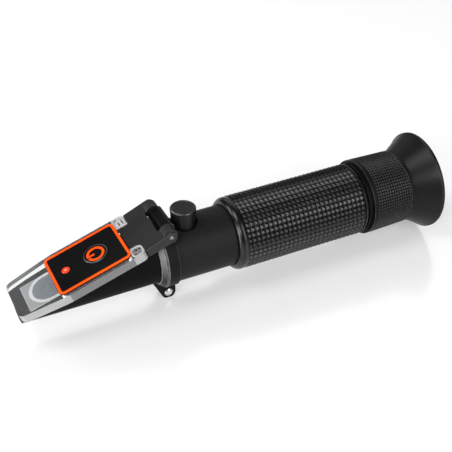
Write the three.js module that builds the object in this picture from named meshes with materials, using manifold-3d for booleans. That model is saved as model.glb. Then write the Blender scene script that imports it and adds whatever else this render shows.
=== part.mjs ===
// Hand-held salinity refractometer with a lit daylight plate.
// Millimetres, +Z up. The tube lies along X, with the prism head at -X and the eyecup at +X.
// The origin is under the middle of the instrument, on the surface that its clamp lug and eyecup rim rest on.
import * as THREE from "three";
import { mergeVertices } from "three/addons/utils/BufferGeometryUtils.js";
import Module from "manifold-3d";

// Fits between pieces
const fixedFit = 0.15; // round a piece that is pressed, glued or screwed in place
const runningFit = 0.1; // round a pin or shaft that turns
const slidingFit = 0.3; // round a piece that slides, and the sample film under the plate
const cutOverrun = 2; // how far a cutting tool runs past the faces that it cuts

// Facets
const tubeSteps = 32;
const rimSteps = 42;
const buttonSteps = 24;
const innerSteps = 20;
const smallSteps = 12;
const curveSteps = 4;
const cornerSteps = 3;

// Main tube; places along X are measured from just behind the front end of the grip
const knobX = -17.66;
const tubeRadius = 12.05;
const tubeWall = 2.55;
const tubeBoreRadius = tubeRadius - tubeWall;
const tubeNose = 5.04; // in front of the knob's axis
const tubeFront = knobX - tubeNose;

// Prism head, and the tube's spigot in it
const headStep = 1.75; // from the tube down to the head
const headRadius = tubeRadius - headStep;
const headGap = 0.2;
const headRear = tubeFront - headGap;
const headFaceDrop = 2.8; // below the hinge pin, square to the slope
const headNose = 56.5; // in front of the hinge pin
const headWall = 1.4;
const spigotRadius = headRadius - headWall;
const spigotWall = 1.3;
const spigotBoreRadius = spigotRadius - spigotWall;
const spigotLength = 9.2;
const spigotWebLength = 0.7;
const headLightStep = 1.6;
const headLightBoreRadius = spigotBoreRadius - headLightStep;
const prismSideWall = 3.1;
const prismHalfWidth = headRadius - prismSideWall;
const prismFaceDrop = 2.7;
const prismFront = -56.2;
const prismBack = -24;
const prismFloorWall = 4;
const prismBottomDrop = headRadius - prismFloorWall; // below the tube's axis
const prismEdge = 0.3;

// Clamp band, with its hinge tongue
const clampWidth = 8.3;
const clampRearGap = 0.1; // in front of the head's rear end
const clampFront = headRear - clampRearGap - clampWidth;
const clampBandWall = 2.6;
const clampRadius = headRadius + clampBandWall;
const clampLeadWall = 0.65;
const clampLeadRadius = headRadius + clampLeadWall;
const clampLeadLength = 1.9;
const clampGrooveLength = 0.45;
const clampGrooveDepth = 0.35;
const tongueHalfWidth = 6.3;

// Hinge
const pinInset = 4.2; // behind the clamp's front
const pinX = clampFront + pinInset;
const pinAboveClamp = 2.3;
const pinRise = clampRadius + pinAboveClamp; // above the tube's axis
const pinRadius = 0.9;
const pinEndInset = 0.1;
const headFront = pinX - headNose;

// The clamp's screw lug, which stands on the surface that the eyecup's rim rests on
const rimRadius = 20.05;
const lugThickness = 6;
const lugSlit = 1.1;
const lugEndShare = 0.406; // of the room between the clamp and that surface
const lugEndRadius = (rimRadius - clampRadius) * lugEndShare;
const lugFootCut = 0.3; // taken off the round end
const lugEndDrop = rimRadius + lugFootCut - lugEndRadius;
const lugEndInset = 5.4; // behind the clamp's front
const lugEndX = clampFront + lugEndInset;
const lugToeReach = 1.5; // in front of the clamp
const lugToeX = clampFront - lugToeReach;
const lugRootRadius = 1.2;
const clampScrewAcross = 0.3;
const clampScrewX = lugEndX - clampScrewAcross;
const clampScrewRiseShare = 0.19;
const clampScrewDrop = lugEndDrop - lugEndRadius * clampScrewRiseShare;
const clampScrewShare = 0.33;
const clampScrewRadius = lugEndRadius * clampScrewShare;
const clampScrewHeadShare = 0.55;
const clampScrewHeadRadius = lugEndRadius * clampScrewHeadShare;
const clampScrewHeadHeight = 0.9;
const clampScrewTail = 0.5;
const clampNutShare = 0.724;
const clampNutRadius = lugEndRadius * clampNutShare;
const clampNutHeight = 1.4;

// Hinge bracket, measured from the hinge pin along the slope
const bracketHalfWidth = 11.8;
const bracketFront = -14.8;
const bracketShoulder = -10.4;
const bracketNoseHalfWidth = 6.1;
const bracketTopFront = 0.5;
const bracketTopAtPin = 2;
const bracketBottom = -0.8;
const bracketCornerRadius = 0.5;
const knuckleRadius = 2.7;
const knuckleOuter = 10.1;
const armEndRadius = 2.1;
const armDrop = 2.3;
const slotFront = -3.3;
const slotHalfWidth = 6.7;

// Clear daylight plate, measured from the hinge pin along the slope
const plateFront = -60.3;
const plateBack = -10.55;
const plateTaperStart = -42.2;
const plateFrontHalfWidth = 9.7;
const plateHalfWidth = 12.4;
const plateTop = 1.05;
const plateBottom = -2.4;
const plateFrontCorner = 2;
const plateBackCorner = 1.6;
const plateTongueTop = -0.95;
const plateTabInner = 6.25;
const lampPocketFloor = -1.8;
const windowRadius = 5.9;
const windowRimWidth = 1.3;
const windowRimDepth = 0.4;
const windowFrontCentre = -47;
const windowBackCentre = -34;

// Lamp unit that sits in the plate
const lampGap = 0.52; // in front of the bracket
const lampRear = bracketFront - lampGap;
const lampLength = 28.8;
const lampFront = lampRear - lampLength;
const lampCentre = lampRear - lampLength / 2;
const lampWidth = 21.6;
const lampTop = 1.7;
const lampHeight = 3.35;
const lampFrameWidth = 1.2;
const lampCorner = 2;
const lampInnerCorner = 0.9;
const lampPanelInset = 0.15;
const lampPanelThickness = 0.8;
const lampCoverThickness = 0.45;
const lampLedgeWidth = 0.7;
const lightWindowLength = 4.4;
const lightWindowWidth = 8;

// Power button and its ring
const buttonInset = 10.94; // in front of the lamp's rear end
const buttonRadius = 4.1;
const buttonDish = 0.2;
const buttonDishShare = 0.8;
const buttonRecess = 0.25;
const buttonCapThickness = 0.55;
const buttonFlangeRadius = 4.6;
const buttonFlangeThickness = 0.25;
const buttonStemRadius = 1.1;
const buttonTravel = 0.3;
const ringOuterRadius = 4.95;
const ringInnerRadius = 4.3;
const ringStand = 0.25;

// Electronics in the lamp
const boardThickness = 0.45;
const boardRise = 0.1; // above the lamp's back cover
const boardMargin = 0.2;
const switchSize = 3.4;
const switchHeight = 0.6;
const indicatorInset = 5.74; // behind the lamp's front end
const indicatorRadius = 1.55;
const indicatorFlangeRadius = 2;
const indicatorChipSize = 1.6;
const indicatorChipHeight = 0.55;
const lightChipLength = 1.6;
const lightChipWidth = 3;
const lightChipHeight = 0.9;
const cellRadius = 2.4;
const cellHeight = 1.65;
const cellEdge = 0.7;
const cellSide = 4.8;

// Calibration knob and the cell that it shifts
const knobHeight = 7.37; // above its gap to the spot-face
const knobRadius = 4.78;
const knobTaper = 0.28;
const knobFootRadius = knobRadius - knobTaper;
const knobEdge = 0.55;
const knobDishDepth = 0.2;
const spotFaceDepth = 1.7;
const spotFaceRise = tubeRadius - spotFaceDepth;
const spotFaceGap = 0.52;
const spotFaceRadius = knobRadius + spotFaceGap;
const knobTop = spotFaceRise + slidingFit + knobHeight;
const bushRadius = 2.7;
const bushStand = 1;
const bushTail = 0.2;
const calibrationScrewRadius = 1.5;
const calibrationScrewGrip = 5.5;
const calibrationShift = 0.25; // of the cell, each way
const cellRingGap = 1; // round the cell, for its shift and the strip
const cellRingWall = 1.6;
const cellRingRadius = tubeBoreRadius - cellRingGap;
const cellRingBore = cellRingRadius - cellRingWall;
const cellRingLength = 4.2;
const cellSeatLength = 1;
const cellSeatLip = 0.7;
const objectiveCrown = 1.1;

// Bimetal strip that compensates for temperature
const stripLength = 25.5;
const stripWidth = 4;
const stripThickness = 0.6;
const stripRise = 0.55; // above the bottom of the bore
const stripScrewInset = 3.2;
const stripScrewRadius = 0.9;
const stripHeadRadius = 1.6;
const stripHeadHeight = 0.9;

// Scale disc
const reticleThickness = 1.5;
const reticleLip = 1.6;
const reticleHolderLength = 3.6;
const reticleHolderBackstop = 1.2;

// Grip
const gripFront = -0.5;
const gripLength = 56.6;
const gripRear = gripFront + gripLength;
const gripWall = 1.65; // under the grooves
const gripGrooveRadius = tubeRadius + fixedFit + gripWall;
const gripBeadStand = 0.6; // above the grooves
const gripBeadRadius = gripGrooveRadius + gripBeadStand;
const gripBeadLip = 0.3;
const gripBeadStart = tubeRadius + fixedFit + gripBeadLip;
const gripBeadLength = 2.7;
const gripNose = 3.7;
const gripKnurlFront = gripFront + gripNose;
const gripBandLength = 1.2;
const gripKnurlRear = gripRear - gripBandLength;
const gripPeakHeight = 0.75;
const gripPeakRadius = gripGrooveRadius + gripPeakHeight;
const gripBandStand = 0.5;
const gripBandRadius = gripGrooveRadius + gripBandStand;
const gripBandEdge = 0.35;
const gripRows = 27;
const gripColumns = 43;

// Focus ring
const focusFrontGap = 0.4; // behind the grip
const focusFront = gripRear + focusFrontGap;
const focusLength = 20.9;
const focusRear = focusFront + focusLength;
const focusGap = 0.25; // round the main tube
const focusBoreRadius = tubeRadius + focusGap;
const focusWall = 3.12;
const focusFrontRadius = focusBoreRadius + focusWall;
const focusTaper = 0.52;
const focusRearRadius = focusFrontRadius - focusTaper;
const focusNoseStep = 1.12;
const focusNoseRadius = focusFrontRadius - focusNoseStep;
const focusNoseLength = 1.9;
const focusNoseLip = 0.25;
const focusEdge = 0.25;
const focusWebInset = 2.5;
const focusWebFront = focusRear - focusWebInset;
const focusWebThickness = 1.5;
const focusNeckLength = 3.8;
const focusNeckWall = 1.2;
const focusTravel = 4;
const tubeRearGap = 0.5; // left in front of the focus ring's web at the end of its travel
const tubeRear = focusWebFront - focusTravel - tubeRearGap;

// Eyepiece barrel and what it holds
const barrelRadius = tubeBoreRadius - fixedFit;
const barrelWall = 1.15;
const barrelBoreRadius = barrelRadius - barrelWall;
const barrelLipWidth = 1.4;
const barrelLipRadius = barrelBoreRadius - barrelLipWidth;
const barrelLipLength = 5.2;
const barrelFlangeStand = 1.65;
const barrelFlangeRadius = barrelRadius + barrelFlangeStand;
const barrelFlangeLength = 1.4;
const clipStand = 1.25;
const clipRadius = barrelRadius + clipStand;
const clipThickness = 0.8;
const clipDepth = 0.35;
const clipGapShare = 0.12;
const guidePinRadius = 1;
const guidePinReach = 0.75; // into the barrel's slot
const fieldLensLength = 3.8;
const fieldLensCrown = 1.2;
const eyeLensLength = 4;
const eyeLensCrown = 1.3;
const lensSpacerLength = 20.4;
const lensSpacerWall = 0.8;
const lensGap = 0.2;
const lensRetainerLength = 1.3;
const lensRetainerInset = 1.15; // from the barrel's rear end
const lensRetainerWall = 1.45;
const lensRetainerBore = barrelBoreRadius - fixedFit - lensRetainerWall;
const barrelStand = 2.6; // behind the focus ring
const barrelRear = focusRear + barrelStand;
const retainerFront = barrelRear - lensRetainerInset - lensRetainerLength;
const eyeLensFront = retainerFront + eyeLensCrown / 2 - lensGap - eyeLensLength;
const spacerFront = eyeLensFront - lensGap - lensSpacerLength;
const fieldLensFront = spacerFront - lensGap - fieldLensLength;
const barrelFront = fieldLensFront - lensGap - barrelLipLength;
const guidePinInset = 6.4; // behind the barrel's front
const guidePinX = barrelFront + guidePinInset;
const reticleReach = 7; // in front of the barrel
const reticleX = barrelFront - reticleReach;
const focusWebBoreRadius = barrelRadius + focusGap;
const focusNeckGap = 0.8; // round the clip
const focusNeckBoreRadius = clipRadius + focusNeckGap;
const focusNeckRadius = focusNeckBoreRadius + focusNeckWall;

// Eyecup
const cupGap = 0.4; // behind the focus ring
const cupFront = focusRear + cupGap;
const cupLength = 10.4;
const rimX = cupFront + cupLength;
const cupFrontStep = 0.8; // below the focus ring
const cupFrontRadius = focusRearRadius - cupFrontStep;
const cupLipLength = 1;
const cupLipStep = 0.25;
const cupLipEdge = 0.2;
const cupRimWall = 1.05;
const bowlDepth = 5.6;
const bowlFloorX = rimX - bowlDepth;
const bowlFloorLedge = 1.6; // over the neck's end
const bowlFloorRadius = focusNeckRadius - bowlFloorLedge;
const bowlFloorHandle = 3.4;
const bowlRimHandleAlong = 3.2;
const bowlRimHandleIn = 0.7;

// Directions
const quarterTurn = Math.PI / 2;
const fullTurn = Math.PI * 2;

// The cover slopes down so far that its front end lies a set height above the head's lowest line
const coverFrontRise = 6.986;
const coverSlope = Math.asin((pinRise + headRadius - coverFrontRise) / -plateFront);

const wasm = await Module();
wasm.setup();

// Shapes

// A closed geometry as a solid: shared corners merged, and triangles that have collapsed at a pole dropped.
function solidFrom(geometry) {
  const bare = geometry.index ? geometry.toNonIndexed() : geometry.clone();
  bare.deleteAttribute("normal");
  bare.deleteAttribute("uv");
  const merged = mergeVertices(bare);
  const corners = merged.index.array;
  const triangles = [];
  for (let i = 0; i < corners.length; i += 3) {
    const [a, b, c] = [corners[i], corners[i + 1], corners[i + 2]];
    if (a !== b && b !== c && c !== a) triangles.push(a, b, c);
  }
  const mesh = new wasm.Mesh({
    numProp: 3,
    vertProperties: merged.attributes.position.array,
    triVerts: new Uint32Array(triangles),
  });
  return new wasm.Manifold(mesh);
}

function piece(name, solid, finish) {
  const mesh = solid.getMesh();
  const geometry = new THREE.BufferGeometry();
  geometry.setAttribute("position", new THREE.BufferAttribute(mesh.vertProperties, 3));
  geometry.setIndex(new THREE.BufferAttribute(mesh.triVerts, 1));
  const made = new THREE.Mesh(geometry.toNonIndexed(), new THREE.MeshStandardMaterial(finish));
  made.geometry.computeVertexNormals();
  made.name = name;
  return made;
}

// A profile of [x, radius] points turned round the X axis, listed from front to rear outside and back inside.
function turned(profile, steps = tubeSteps) {
  const points = profile.map(([along, radius]) => new THREE.Vector2(radius, along));
  points.push(points[0].clone());
  const geometry = new THREE.LatheGeometry(points, steps);
  geometry.rotateZ(-quarterTurn);
  return solidFrom(geometry);
}

function tubeBetween(front, rear, radius, boreRadius, steps = tubeSteps) {
  return turned([[front, boreRadius], [front, radius], [rear, radius], [rear, boreRadius]], steps);
}

function rodAlongX(front, rear, radius, steps = tubeSteps) {
  return turned([[front, 0], [front, radius], [rear, radius], [rear, 0]], steps);
}

function rodAlongY(x, z, near, far, radius, steps = smallSteps) {
  const geometry = new THREE.CylinderGeometry(radius, radius, far - near, steps);
  geometry.translate(x, (near + far) / 2, z);
  return solidFrom(geometry);
}

// A profile of [radius, z] points turned round an upright axis, listed from the bottom up outside.
function turnedUpright(x, y, profile, steps = smallSteps) {
  const points = profile.map(([radius, height]) => new THREE.Vector2(radius, height));
  points.push(points[0].clone());
  const geometry = new THREE.LatheGeometry(points, steps);
  geometry.rotateX(quarterTurn);
  geometry.translate(x, y, 0);
  return solidFrom(geometry);
}

function rodUpright(x, y, bottom, top, radius, steps = smallSteps) {
  return turnedUpright(x, y, [[0, bottom], [radius, bottom], [radius, top], [0, top]], steps);
}

function block(x0, x1, y0, y1, z0, z1) {
  const geometry = new THREE.BoxGeometry(x1 - x0, y1 - y0, z1 - z0);
  geometry.translate((x0 + x1) / 2, (y0 + y1) / 2, (z0 + z1) / 2);
  return solidFrom(geometry);
}

function extruded(shape, depth) {
  return new THREE.ExtrudeGeometry(shape, { depth, bevelEnabled: false, curveSegments: curveSteps });
}

// A shape drawn in X and Z, extruded across Y.
function across(shape, near, far) {
  const geometry = extruded(shape, far - near);
  geometry.rotateX(quarterTurn);
  geometry.translate(0, far, 0);
  return solidFrom(geometry);
}

// A shape drawn in X and Y, extruded upwards.
function upwards(shape, bottom, top) {
  const geometry = extruded(shape, top - bottom);
  geometry.translate(0, 0, bottom);
  return solidFrom(geometry);
}

// An outline with each corner rounded by its own radius; a corner is [x, y, radius].
function roundedOutline(corners) {
  const shape = new THREE.Shape();
  corners.forEach(([x, y, radius], i) => {
    const here = new THREE.Vector2(x, y);
    const [px, py] = corners[(i + corners.length - 1) % corners.length];
    const [nx, ny] = corners[(i + 1) % corners.length];
    const before = new THREE.Vector2(px, py).sub(here);
    const after = new THREE.Vector2(nx, ny).sub(here);
    if (!radius) {
      if (i === 0) shape.moveTo(x, y);
      else shape.lineTo(x, y);
      return;
    }
    const half = before.angleTo(after) / 2;
    const reach = Math.min(radius / Math.tan(half), before.length() / 2, after.length() / 2);
    const start = here.clone().add(before.setLength(reach));
    const end = here.clone().add(after.setLength(reach));
    if (i === 0) shape.moveTo(start.x, start.y);
    else shape.lineTo(start.x, start.y);
    shape.quadraticCurveTo(here.x, here.y, end.x, end.y);
  });
  shape.closePath();
  return shape;
}

function roundedRectangle(x0, x1, halfWidth, radius) {
  return roundedOutline([
    [x0, -halfWidth, radius],
    [x1, -halfWidth, radius],
    [x1, halfWidth, radius],
    [x0, halfWidth, radius],
  ]);
}

// A slot-shaped outline with round ends, along X.
function stadium(front, rear, radius) {
  const shape = new THREE.Shape();
  shape.absarc(rear, 0, radius, -quarterTurn, quarterTurn, false);
  shape.absarc(front, 0, radius, quarterTurn, quarterTurn + Math.PI, false);
  shape.closePath();
  return shape;
}

// A point in the tube's frame, from a place along the cover's slope and square to it.
function onSlope(along, height) {
  return {
    x: pinX + along * Math.cos(coverSlope) - height * Math.sin(coverSlope),
    z: pinRise + along * Math.sin(coverSlope) + height * Math.cos(coverSlope),
  };
}

// Points along a cubic curve between two [x, radius] points, for a turned profile.
function profileCurve(start, startHandle, endHandle, end) {
  const points = [start, startHandle, endHandle, end].map(([x, y]) => new THREE.Vector2(x, y));
  return new THREE.CubicBezierCurve(...points).getPoints(curveSteps).map((p) => [p.x, p.y]);
}

// Points of a quarter ellipse that rises from one [x, radius] point to another.
function profileQuarter([startX, startRadius], [endX, endRadius]) {
  const points = [];
  for (let i = 0; i <= cornerSteps; i++) {
    const angle = (quarterTurn * i) / cornerSteps;
    const x = endX - (endX - startX) * Math.cos(angle);
    points.push([x, startRadius + (endRadius - startRadius) * Math.sin(angle)]);
  }
  return points;
}

// A closed sleeve round X, from rings of corners; between rings marked as knurled stand rows of pyramids.
function knurledSleeve(rings, columns, peakRadius) {
  const positions = [];
  const faces = [];
  const put = (x, radius, column) => {
    const angle = (fullTurn * column) / columns;
    positions.push(x, radius * Math.sin(angle), radius * Math.cos(angle));
    return positions.length / 3 - 1;
  };
  for (const { x, radius } of rings)
    for (let column = 0; column < columns; column++) put(x, radius, column);
  rings.forEach((ring, row) => {
    const nextRow = (row + 1) % rings.length;
    for (let column = 0; column < columns; column++) {
      const nextColumn = (column + 1) % columns;
      const cell = [
        row * columns + column,
        row * columns + nextColumn,
        nextRow * columns + nextColumn,
        nextRow * columns + column,
      ];
      if (ring.knurled) {
        const peak = put((ring.x + rings[nextRow].x) / 2, peakRadius, column + 1 / 2);
        cell.forEach((corner, i) => faces.push(corner, peak, cell[(i + 1) % cell.length]));
      } else {
        const [a, b, c, d] = cell;
        faces.push(a, c, b, a, d, c);
      }
    }
  });
  const geometry = new THREE.BufferGeometry();
  geometry.setAttribute("position", new THREE.Float32BufferAttribute(positions, 3));
  geometry.setIndex(faces);
  return solidFrom(geometry);
}

// Finishes
const blackPlastic = { color: 0x1d1d1f, roughness: 0.5, metalness: 0 };
const glossBlack = { color: 0x111112, roughness: 0.25, metalness: 0 };
const gripRubber = { color: 0x222325, roughness: 0.55, metalness: 0 };
const cupRubber = { color: 0x19191a, roughness: 0.7, metalness: 0 };
const clearPlastic = { color: 0xf2f5f6, roughness: 0.05, metalness: 0, transparent: true, opacity: 0.35 };
const opticalGlass = { color: 0xcfd9e6, roughness: 0.03, metalness: 0, transparent: true, opacity: 0.4 };
const orangePlastic = { color: 0xff5a00, roughness: 0.4, metalness: 0 };
const greyPlastic = { color: 0x6c6c6e, roughness: 0.35, metalness: 0 };
const redLens = { color: 0xff3a14, roughness: 0.2, metalness: 0 };
const steel = { color: 0xc4c6c8, roughness: 0.25, metalness: 1 };
const brass = { color: 0xc9a04e, roughness: 0.35, metalness: 1 };
const boardGreen = { color: 0x1e6b3a, roughness: 0.6, metalness: 0 };
const lampWhite = { color: 0xfff4cf, roughness: 0.3, metalness: 0 };

// Prism head

function prismOutline(grow) {
  const front = onSlope(prismFront - grow, -prismFaceDrop);
  const back = onSlope(prismBack + grow, -prismFaceDrop);
  const bottom = -prismBottomDrop - grow;
  return { front, back, bottom };
}

function prismSolid(grow, halfWidth, rise) {
  const { front, back, bottom } = prismOutline(grow);
  const lift = { x: -rise * Math.sin(coverSlope), z: rise * Math.cos(coverSlope) };
  const shape = roundedOutline([
    [front.x, bottom, 0],
    [back.x, bottom, 0],
    [back.x, back.z, 0],
    [back.x + lift.x, back.z + lift.z, 0],
    [front.x + lift.x, front.z + lift.z, 0],
    [front.x, front.z, 0],
  ]);
  return across(shape, -halfWidth, halfWidth);
}

function makePrismHead() {
  const { back } = prismOutline(fixedFit);
  const boreFront = back.x - fixedFit;
  const seatFront = tubeFront - spigotLength - fixedFit;
  let head = rodAlongX(headFront, headRear, headRadius);
  const lowFace = onSlope(plateFront - cutOverrun, -headFaceDrop);
  const highFace = onSlope(headRadius, -headFaceDrop);
  const above = headRadius + pinRise;
  const faceCut = roundedOutline([
    [lowFace.x, lowFace.z, 0],
    [highFace.x, highFace.z, 0],
    [highFace.x, above, 0],
    [lowFace.x, above, 0],
  ]);
  head = head.subtract(across(faceCut, -headRadius - cutOverrun, headRadius + cutOverrun));
  head = head.subtract(prismSolid(fixedFit, prismHalfWidth + fixedFit, cutOverrun));
  head = head.subtract(rodAlongX(boreFront, headRear + cutOverrun, headLightBoreRadius));
  head = head.subtract(rodAlongX(seatFront, headRear + cutOverrun, spigotRadius + fixedFit));
  return piece("prism_head", head, blackPlastic);
}

function makeMainPrism() {
  const whole = prismSolid(0, prismHalfWidth, prismEdge);
  const { front, back, bottom } = prismOutline(0);
  const face = roundedOutline([
    [front.x, bottom, 0],
    [back.x, bottom, 0],
    [back.x, back.z, 0],
    [front.x, front.z, 0],
  ]);
  return piece("main_prism", whole.intersect(across(face, -prismHalfWidth, prismHalfWidth)), opticalGlass);
}

// Clamp band

function tongueOutline() {
  const rise = pinRise;
  const foot = clampRadius - clampGrooveDepth - pinRise;
  const shares = [
    [-0.85, -0.2],
    [-0.5, 0.62],
    [-0.05, 0.84],
    [0.4, 0.86],
    [0.85, 0.78],
    [1.15, 0.48],
    [1.3, 0.1],
  ];
  const shape = new THREE.Shape();
  const reach = knuckleRadius;
  shape.moveTo(pinX - reach * 0.9, rise + foot);
  shape.splineThru(shares.map(([x, z]) => new THREE.Vector2(pinX + x * reach, rise + z * reach)));
  shape.lineTo(pinX + reach * 1.5, rise + foot);
  shape.closePath();
  return shape;
}

function lugOutline() {
  const toe = Math.sqrt(headRadius ** 2 - (lugThickness / 2) ** 2);
  const shape = new THREE.Shape();
  const rear = lugEndX + lugEndRadius;
  shape.moveTo(lugToeX, -toe);
  const slope = Math.atan2(lugEndDrop - toe, lugEndX - lugToeX);
  const offset = Math.asin(lugEndRadius / Math.hypot(lugEndDrop - toe, lugEndX - lugToeX));
  const contact = -slope - offset - quarterTurn;
  shape.absarc(lugEndX, -lugEndDrop, lugEndRadius, contact, 0, false);
  shape.lineTo(rear, -headRadius - fixedFit);
  shape.lineTo(lugToeX + lugRootRadius, -toe + lugRootRadius);
  shape.closePath();
  return shape;
}

function makeClampBand() {
  const boreRadius = headRadius + fixedFit;
  const rear = clampFront + clampWidth;
  const edgeRear = clampFront + clampLeadLength;
  const grooveRear = edgeRear + clampGrooveLength;
  const flat = clampRadius - clampGrooveDepth;
  let band = turned([
    [clampFront, boreRadius],
    [clampFront, clampLeadRadius],
    [edgeRear, flat],
    [edgeRear, flat - clampGrooveDepth],
    [grooveRear, flat - clampGrooveDepth],
    [grooveRear, clampRadius],
    [rear, clampRadius],
    [rear, boreRadius],
  ]);
  const lug = across(lugOutline(), -lugThickness / 2, lugThickness / 2);
  const tongue = across(tongueOutline(), -tongueHalfWidth, tongueHalfWidth);
  band = band.add(lug).add(tongue);
  band = band.subtract(rodAlongX(lugToeX - cutOverrun, rear + cutOverrun, boreRadius));
  const restDrop = rimRadius;
  const slitTop = -boreRadius + cutOverrun;
  const low = lugEndRadius + cutOverrun;
  band = band.subtract(
    block(lugToeX - low, rear + low, -lugSlit / 2, lugSlit / 2, -restDrop - low, slitTop),
  );
  band = band.subtract(
    block(lugToeX, rear + low, -lugThickness, lugThickness, -restDrop - low, -restDrop),
  );
  const screwHole = clampScrewRadius + runningFit;
  band = band.subtract(
    rodAlongY(clampScrewX, -clampScrewDrop, -lugThickness, lugThickness, screwHole),
  );
  const pinReach = tongueHalfWidth + cutOverrun;
  band = band.subtract(rodAlongY(pinX, pinRise, -pinReach, pinReach, pinRadius + runningFit));
  return piece("clamp_band", band, blackPlastic);
}

function makeClampScrew() {
  const face = -lugThickness / 2 - fixedFit;
  const tail = lugThickness / 2 + fixedFit + clampNutHeight + clampScrewTail;
  const shaft = rodAlongY(
    clampScrewX,
    -clampScrewDrop,
    face - clampScrewHeadHeight / 2,
    tail,
    clampScrewRadius,
  );
  const head = rodAlongY(
    clampScrewX,
    -clampScrewDrop,
    face - clampScrewHeadHeight,
    face,
    clampScrewHeadRadius,
  );
  return piece("clamp_screw", shaft.add(head), steel);
}

function makeClampNut() {
  const near = lugThickness / 2 + fixedFit;
  const far = near + clampNutHeight;
  const nut = rodAlongY(clampScrewX, -clampScrewDrop, near, far, clampNutRadius, 6);
  const bore = rodAlongY(
    clampScrewX,
    -clampScrewDrop,
    near - cutOverrun,
    far + cutOverrun,
    clampScrewRadius + runningFit,
  );
  return piece("clamp_nut", nut.subtract(bore), steel);
}

function makeHingePin() {
  const half = bracketHalfWidth - pinEndInset;
  return piece("hinge_pin", rodAlongY(pinX, pinRise, -half, half, pinRadius), steel);
}

// Main tube

function makeMainTube() {
  const spigotFront = tubeFront - spigotLength;
  let tube = turned([
    [spigotFront, spigotBoreRadius],
    [spigotFront, spigotRadius],
    [tubeFront, spigotRadius],
    [tubeFront, tubeRadius],
    [tubeRear, tubeRadius],
    [tubeRear, tubeBoreRadius],
    [tubeFront + spigotWebLength, tubeBoreRadius],
    [tubeFront + spigotWebLength, spigotBoreRadius],
  ]);
  const outside = tubeRadius + cutOverrun;
  tube = tube.subtract(rodUpright(knobX, 0, spotFaceRise, outside, spotFaceRadius, tubeSteps));
  const bushHole = bushRadius + fixedFit;
  tube = tube.subtract(rodUpright(knobX, 0, 0, tubeRadius, bushHole));
  const screwHole = stripScrewRadius + fixedFit;
  tube = tube.subtract(rodUpright(stripScrewX(), 0, -tubeRadius - cutOverrun, 0, screwHole));
  tube = tube.subtract(
    rodUpright(guidePinX, 0, -tubeRadius - cutOverrun, 0, guidePinRadius + fixedFit),
  );
  return piece("main_tube", tube, blackPlastic);
}

function stripRear() {
  return knobX - cellRingLength / 2 + stripLength;
}

function stripScrewX() {
  return stripRear() - stripScrewInset;
}

function makeBimetalStrip() {
  const bottom = -tubeBoreRadius + stripRise;
  const front = knobX - cellRingLength / 2;
  const strip = block(front, stripRear(), -stripWidth / 2, stripWidth / 2, bottom, bottom + stripThickness);
  const hole = rodUpright(
    stripScrewX(),
    0,
    bottom - cutOverrun,
    bottom + cutOverrun,
    stripScrewRadius + fixedFit,
  );
  return piece("bimetal_strip", strip.subtract(hole), brass);
}

function makeStripScrew() {
  const seat = -tubeBoreRadius + stripRise + stripThickness + fixedFit;
  const shaftTop = seat + stripHeadHeight / 2;
  const shaft = rodUpright(stripScrewX(), 0, -tubeRadius + fixedFit, shaftTop, stripScrewRadius);
  const head = rodUpright(stripScrewX(), 0, seat, seat + stripHeadHeight, stripHeadRadius);
  return piece("strip_screw", shaft.add(head), steel);
}

// Scale disc in its holder

function makeReticleHolder() {
  const rear = reticleX + reticleHolderLength;
  const radius = tubeBoreRadius - fixedFit;
  const seat = radius - reticleLip / 2 + fixedFit;
  const stop = rear - reticleHolderBackstop;
  return piece(
    "reticle_holder",
    turned([
      [reticleX, seat],
      [reticleX, radius],
      [rear, radius],
      [rear, radius - reticleLip],
      [stop, radius - reticleLip],
      [stop, seat],
    ], innerSteps),
    brass,
  );
}

function makeReticle() {
  const radius = tubeBoreRadius - fixedFit - reticleLip / 2;
  const rear = reticleX + reticleHolderLength - reticleHolderBackstop - fixedFit;
  const disc = rodAlongX(rear - reticleThickness, rear, radius, innerSteps);
  return piece("reticle", disc, opticalGlass);
}

// Calibration knob, its screw and bush, and the objective cell

function makeCalibrationKnob() {
  const bottom = spotFaceRise + slidingFit;
  const dish = knobRadius - knobEdge * 2;
  let knob = turnedUpright(
    knobX,
    0,
    [
      [0, bottom],
      [knobFootRadius, bottom],
      [knobRadius, knobTop - knobEdge],
      [knobRadius - knobEdge, knobTop],
      [dish, knobTop],
      [dish - knobDishDepth, knobTop - knobDishDepth],
      [0, knobTop - knobDishDepth],
    ],
    tubeSteps,
  );
  const bushTop = spotFaceRise + bushStand + slidingFit;
  knob = knob.subtract(rodUpright(knobX, 0, bottom - cutOverrun, bushTop, bushRadius + slidingFit));
  const screwTop = bottom + calibrationScrewGrip;
  knob = knob.subtract(
    rodUpright(knobX, 0, bottom, screwTop + fixedFit, calibrationScrewRadius + fixedFit),
  );
  return piece("calibration_knob", knob, blackPlastic);
}

function makeCalibrationScrew() {
  const top = spotFaceRise + slidingFit + calibrationScrewGrip;
  const tip = cellRingRadius + fixedFit;
  return piece("calibration_screw", rodUpright(knobX, 0, tip, top, calibrationScrewRadius), steel);
}

function makeCalibrationBush() {
  const bottom = tubeBoreRadius - bushTail;
  const top = spotFaceRise + bushStand;
  const bore = calibrationScrewRadius + runningFit;
  return piece(
    "calibration_bush",
    turnedUpright(knobX, 0, [[bore, bottom], [bushRadius, bottom], [bushRadius, top], [bore, top]]),
    brass,
  );
}

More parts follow.
